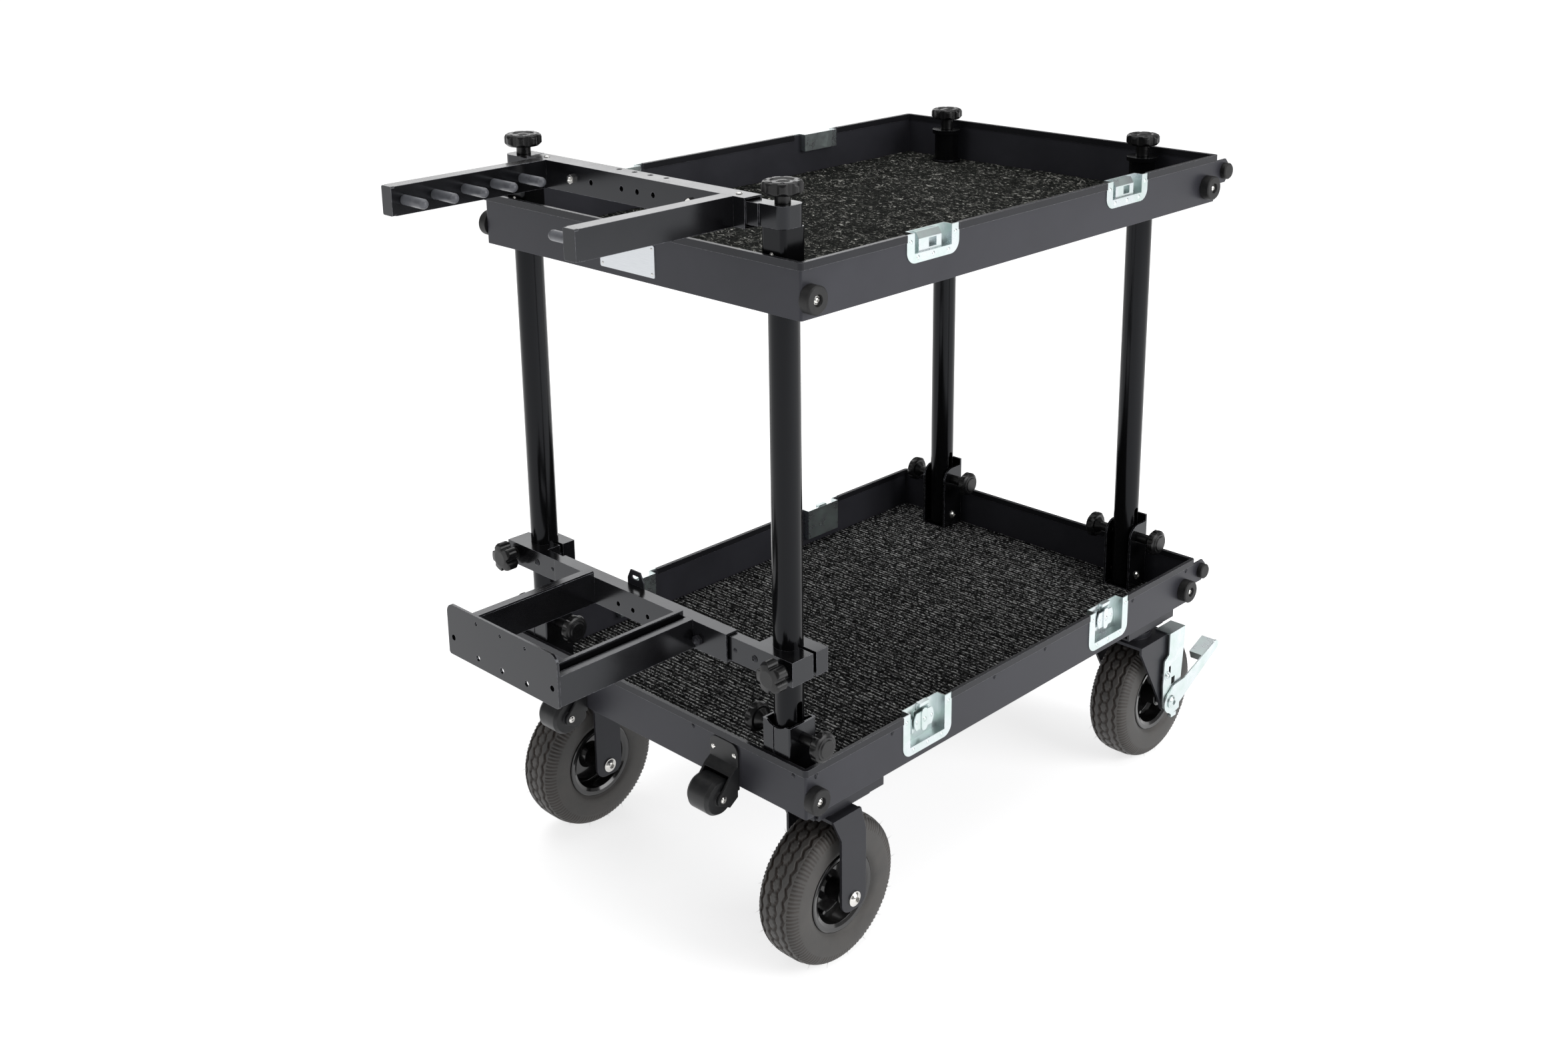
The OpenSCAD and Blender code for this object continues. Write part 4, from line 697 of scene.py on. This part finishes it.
loop_carpet = carpet_finish(
    "loop_carpet", loop_scale=118.0, pale_share=0.32,
    dark=linear(3, 4, 4), grey=linear(44, 46, 43), light=linear(200, 199, 192),
    depth=0.0030, lit_from=0.62)
ribbed_carpet = carpet_finish(
    "ribbed_carpet", loop_scale=150.0, pale_share=0.50,
    dark=linear(8, 9, 10), grey=linear(80, 83, 84), light=linear(228, 229, 227),
    depth=0.0026, lit_from=0.86)
print("carpet finishes:", loop_carpet.name, ribbed_carpet.name)

# %% [markdown]
# ## The carpets
#
# Each carpet fills its tray's floor wall to wall, with a square left out round each post foot.
# Real loops by the hundred thousand would be slow, so the pile is a fine grid of points pushed
# up and down by a few millimetres. The ribs of the lower one run across the tray, 17 millimetres
# apart: each is two rows of loops with a dip between them, and a deep groove parts it from the
# next. The grid is made with numpy, because a quarter of a million points would be slow one by
# one, and a smoothed random field gives the loops their uneven tops.


# %% Uneven tops and ribs
rib_wander = 0.0008  # metres that a rib strays from its line
groove_width, groove_share = 0.0027, 0.90  # between two ribs: metres, and share of the height
dip_width, dip_share = 0.0020, 0.74  # between the two rows of one rib
rib_top, rib_roughness = 0.64, 0.34


def smooth_noise(shape, passes, seed):
    """A random field from 0 to 1, softened by averaging each point with its neighbours."""
    field = np.random.default_rng(seed).random(shape)
    for _ in range(passes):
        for axis in (0, 1):
            field = (np.roll(field, 1, axis) + 2 * field + np.roll(field, -1, axis)) / 4
    field -= field.min()
    return field / field.max()


def pile_height(loops, swell, grid_x, rib):
    """Height of the pile from 0 to 1 over the grid, with ribs if their spacing is given."""
    if not rib:
        return 0.75 * loops + 0.25 * swell
    wander = rib_wander * (swell - 0.5)
    across = (grid_x + wander) / rib % 1.0
    groove = np.exp(-((np.minimum(across, 1 - across) * rib / groove_width) ** 2))
    dip = dip_share * np.exp(-(((across - 0.5) * rib / dip_width) ** 2))
    return np.clip(rib_top + rib_roughness * loops - groove_share * groove - dip, 0, 1)


print("pile in a groove and on a row:",
      pile_height(1.0, 0.5, np.array([0.0, 0.0043]), 0.0172).round(2))

# %% Pile surface
row_stretch = 1.15  # rows stand a little wider apart than the points in a row
pile_overshoot = 1.15  # how far the tallest loops stand over the CAD slab's thickness


def grid_quads(index):
    """Four corners for each cell of a grid of point numbers."""
    corners = [index[:-1, :-1], index[1:, :-1], index[1:, 1:], index[:-1, 1:]]
    return np.stack(corners, -1).reshape(-1, 4)


def new_piece(name, points, faces, value_name, values):
    """A smooth mesh in the scene, with one number stored at each point for its material."""
    mesh = bpy.data.meshes.new(name)
    mesh.from_pydata(points, [], faces)
    mesh.attributes.new(value_name, "FLOAT", "POINT").data.foreach_set(
        "value", values.astype(np.float32))
    mesh.shade_smooth()
    obj = bpy.data.objects.new(name, mesh)
    scene.collection.objects.link(obj)
    return obj


def carpet_piece(name, node_name, holes, pitch, rib, depth, seed):
    """A pile surface over a CAD slab, with skirts down to the tray floor and squares left out."""
    low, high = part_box(node_name)
    nx = int((high.x - low.x) / pitch) + 1
    ny = int((high.y - low.y) / (pitch * row_stretch)) + 1
    x = np.linspace(low.x, high.x, nx)
    y = np.linspace(low.y, high.y, ny)
    loops_field = smooth_noise((nx, ny), 1, seed)
    swell = smooth_noise((nx, ny), 12, seed + 1)
    grid_x, grid_y = np.meshgrid(x, y, indexing="ij")
    pile = pile_height(loops_field, swell, grid_x, rib)
    z = high.z - depth + depth * pile * pile_overshoot
    z[0, :] = z[-1, :] = low.z
    z[:, 0] = z[:, -1] = low.z
    quads = grid_quads(np.arange(nx * ny).reshape(nx, ny))
    mid_x = (grid_x[:-1, :-1] + grid_x[1:, 1:]).ravel() / 2
    mid_y = (grid_y[:-1, :-1] + grid_y[1:, 1:]).ravel() / 2
    keep = np.ones(len(quads), bool)
    for hole_x, hole_y, half in holes:
        keep &= ~((abs(mid_x - hole_x) < half) & (abs(mid_y - hole_y) < half))
    quads = quads[keep]
    used, quads = np.unique(quads, return_inverse=True)
    quads = quads.reshape(-1, 4)
    points = np.stack([grid_x, grid_y, z], -1).reshape(-1, 3)[used]
    return new_piece(name, points.tolist(), quads.tolist(), "pile_height", pile.ravel()[used])


print("corners of the first cell of a grid:", grid_quads(np.arange(6).reshape(2, 3))[0])


# %% Lay the two carpets
def foot_squares(half_sizes):
    """Squares round the posts, from where the CAD knobs that stand on them are."""
    squares = []
    for knob, half in half_sizes.items():
        low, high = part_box(knob)
        squares.append(((low.x + high.x) / 2, (low.y + high.y) / 2, half))
    return squares


# half the side of each square, in metres
lower_feet = foot_squares({f"side_knobs_{number}": 0.030 for number in (1, 2, 3, 4)})
lower_pile = carpet_piece(
    "lower_carpet_pile", "lower_carpet", lower_feet,
    pitch=0.0021, rib=0.0172, depth=0.0034, seed=11)
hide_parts("lower_carpet")
lower_pile.data.materials.append(ribbed_carpet)
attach(lower_pile, "base")

upper_feet = foot_squares({
    "top_knob_1": 0.0235, "top_knob_2": 0.0235, "top_knob_3": 0.020, "top_knob_4": 0.020})
upper_pile = carpet_piece(
    "upper_carpet_pile", "upper_carpet", upper_feet,
    pitch=0.0023, rib=0, depth=0.0030, seed=23)
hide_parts("upper_carpet")
upper_pile.data.materials.append(loop_carpet)
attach(upper_pile, "upper_deck")
print("pile points:", len(lower_pile.data.vertices), len(upper_pile.data.vertices))

# %% [markdown]
# ## The tyres
#
# These are small air-filled cart tyres: a round section, four zigzag grooves round the crown,
# short cross cuts on the shoulders, and a few thin rubber hairs left by the mould's vents. The
# section is the same one the CAD uses, swept in fine steps, and each point of the crown is
# moved in or out by a rule of its angle and width. Doing it point by point keeps the pattern
# crisp without a boolean for every groove.

# %% Tyre section
lip_radius = 0.070  # where the tyre leaves the rim
bead_inner = 0.060
bead_inset = 0.008
crown_start = 0.024  # above the lip
crown_roundness, side_roundness = 0.62, 0.55


def tyre_section(radius, half):
    """Radius and side distance along the section, from one bead over the crown to the other."""
    start = lip_radius + crown_start
    bead = half - bead_inset
    angles = np.concatenate([np.linspace(0, 50, 12, endpoint=False), np.linspace(50, 90, 46)])
    swell = np.radians(angles)
    r = start + (radius - start) * np.sin(swell) ** crown_roundness
    w = half * np.cos(swell) ** side_roundness
    # the bead on the rim, then the lip and the first of the side wall
    side_r = np.array([
        bead_inner, lip_radius, lip_radius + 0.004, lip_radius + 0.008, lip_radius + 0.014])
    side_w = np.array([bead, bead, bead + 0.004, half - 0.0016, half - 0.0006])
    r = np.concatenate([side_r, r])
    w = np.concatenate([side_w, w])
    r = np.concatenate([r, r[-2::-1]])
    w = np.concatenate([w, -w[-2::-1]])
    return r, w


print("points along half a section:", len(tyre_section(0.130, 0.042)[0]) // 2 + 1)

# %% Tread pattern
groove_lines = (-0.0225, -0.0078, 0.0078, 0.0225)
groove_half = 0.0021
groove_wall = 0.0009
groove_drop = 0.0036
zigzag = 0.0021
zigzags_round = 36
crown_depth = 0.012
shoulder_cuts = 108
shoulder_from = 0.029
shoulder_depth = 0.020
cut_drop, cut_share = 0.55, 0.34


def tread_depth(around, across_r, across_w, radius):
    """How deep each point lies in the tread, from 0 on the surface to 1 at a groove's floor."""
    phase = (around * zigzags_round / (2 * np.pi)) % 1.0
    wave = zigzag * (4 * np.abs(phase - 0.5) - 1)
    depth = np.zeros_like(across_r)
    on_crown = across_r > radius - crown_depth
    for k, line in enumerate(groove_lines):
        shift = wave if k % 2 else -wave
        gap = np.abs(across_w - line - shift)
        sunk = np.clip((groove_half + groove_wall - gap) / groove_wall, 0, 1)
        depth = np.maximum(depth, sunk * on_crown)
    cut_phase = (around * shoulder_cuts / (2 * np.pi)) % 1.0
    on_shoulder = (np.abs(across_w) > shoulder_from) & (across_r > radius - shoulder_depth)
    return np.maximum(depth, cut_drop * on_shoulder * (cut_phase < cut_share))


print("round a tyre:", zigzags_round, "zigzags and", shoulder_cuts, "shoulder cuts")

# %% Rubber hairs
hair_count = 34
hair_root = 0.011  # the root's depth under the crown, covered by the hair's own length
hair_inset = 0.009
hair_radius = 0.00045
floor_gap = 0.0005


def mould_hairs(centre, radius, half, first, seed):
    """Thin three-sided spikes on the shoulders, as three points and a tip each."""
    rng = np.random.default_rng(seed)
    points, faces = [], []
    for k in range(hair_count):
        a = 2 * math.pi * (k + rng.uniform(-0.3, 0.3)) / hair_count
        s = 1 if k % 2 else -1
        out = Vector((math.cos(a), 0, math.sin(a)))
        along = Vector((-math.sin(a), 0, math.cos(a)))
        foot = out * (radius - hair_root) + Vector((0, s * (half - hair_inset), 0))
        lean = (out + Vector((0, s * 0.25, 0))).normalized()
        lean += along * rng.uniform(-0.4, 0.4)
        tip = foot + lean.normalized() * (hair_root + rng.uniform(0.003, 0.0065))
        side = lean.cross(Vector((0, 1, 0))).normalized() * hair_radius
        other = lean.cross(side).normalized() * hair_radius
        base = first + len(points)
        for corner in (side, -0.5 * side + other, -0.5 * side - other):
            points.append(tuple(centre + foot + corner))
        tip += centre
        tip.z = max(tip.z, floor_gap)  # the floor bends the ones under the wheel
        points.append(tuple(tip))
        faces += [(base, base + 1, base + 3), (base + 1, base + 2, base + 3),
                  (base + 2, base, base + 3), (base + 2, base + 1, base)]
    return points, faces


print("hairs on each tyre:", hair_count)

# %% Sweep the section round
round_steps = 432
wall_ring_at, wall_ring_half, wall_ring_proud = 0.022, 0.0012, 0.0006  # the raised ring
tread_crease = math.radians(48)


def tyre_piece(name, node_name, seed):
    """A tyre in the place and size of its CAD node, with tread and hairs."""
    low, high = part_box(node_name)
    centre = (low + high) / 2
    radius = (high.z - low.z) / 2
    half = (high.y - low.y) / 2
    r, w = tyre_section(radius, half)
    turn = np.linspace(0, 2 * np.pi, round_steps, endpoint=False)
    around, across_r = np.meshgrid(turn, r, indexing="ij")
    _, across_w = np.meshgrid(turn, w, indexing="ij")
    depth = tread_depth(around, across_r, across_w, radius)
    from_ring = np.abs(across_r - (lip_radius + wall_ring_at))
    ring = np.clip(1 - from_ring / wall_ring_half, 0, 1)
    out = across_r - groove_drop * depth
    side = across_w + np.sign(across_w) * wall_ring_proud * ring
    verts = np.stack([
        centre.x + out * np.cos(around),
        centre.y + side,
        centre.z + out * np.sin(around),
    ], -1).reshape(-1, 3)
    index = np.arange(round_steps * len(r)).reshape(round_steps, len(r))
    ahead = np.roll(index, -1, axis=0)
    beside = np.roll(index, -1, axis=1)
    quads = np.stack([index, beside, np.roll(ahead, -1, axis=1), ahead], -1).reshape(-1, 4)
    hair_points, hair_faces = mould_hairs(centre, radius, half, len(verts), seed)
    obj = new_piece(
        name, verts.tolist() + hair_points, quads.tolist() + hair_faces, "groove_depth",
        np.concatenate([depth.ravel(), np.zeros(len(hair_points))]))
    obj.data.set_sharp_from_angle(angle=tread_crease)
    obj.data.update()
    return obj


# %% Make the four tyres
for number in (1, 2, 3, 4):
    node_name = f"tyre_{number}"
    tyre = tyre_piece(f"treaded_tyre_{number}", node_name, 40 + number)
    tyre.data.materials.append(tyre_rubber)
    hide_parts(node_name)
    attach(tyre, f"wheel_{number}")
print("tyre points:", len(tyre.data.vertices))
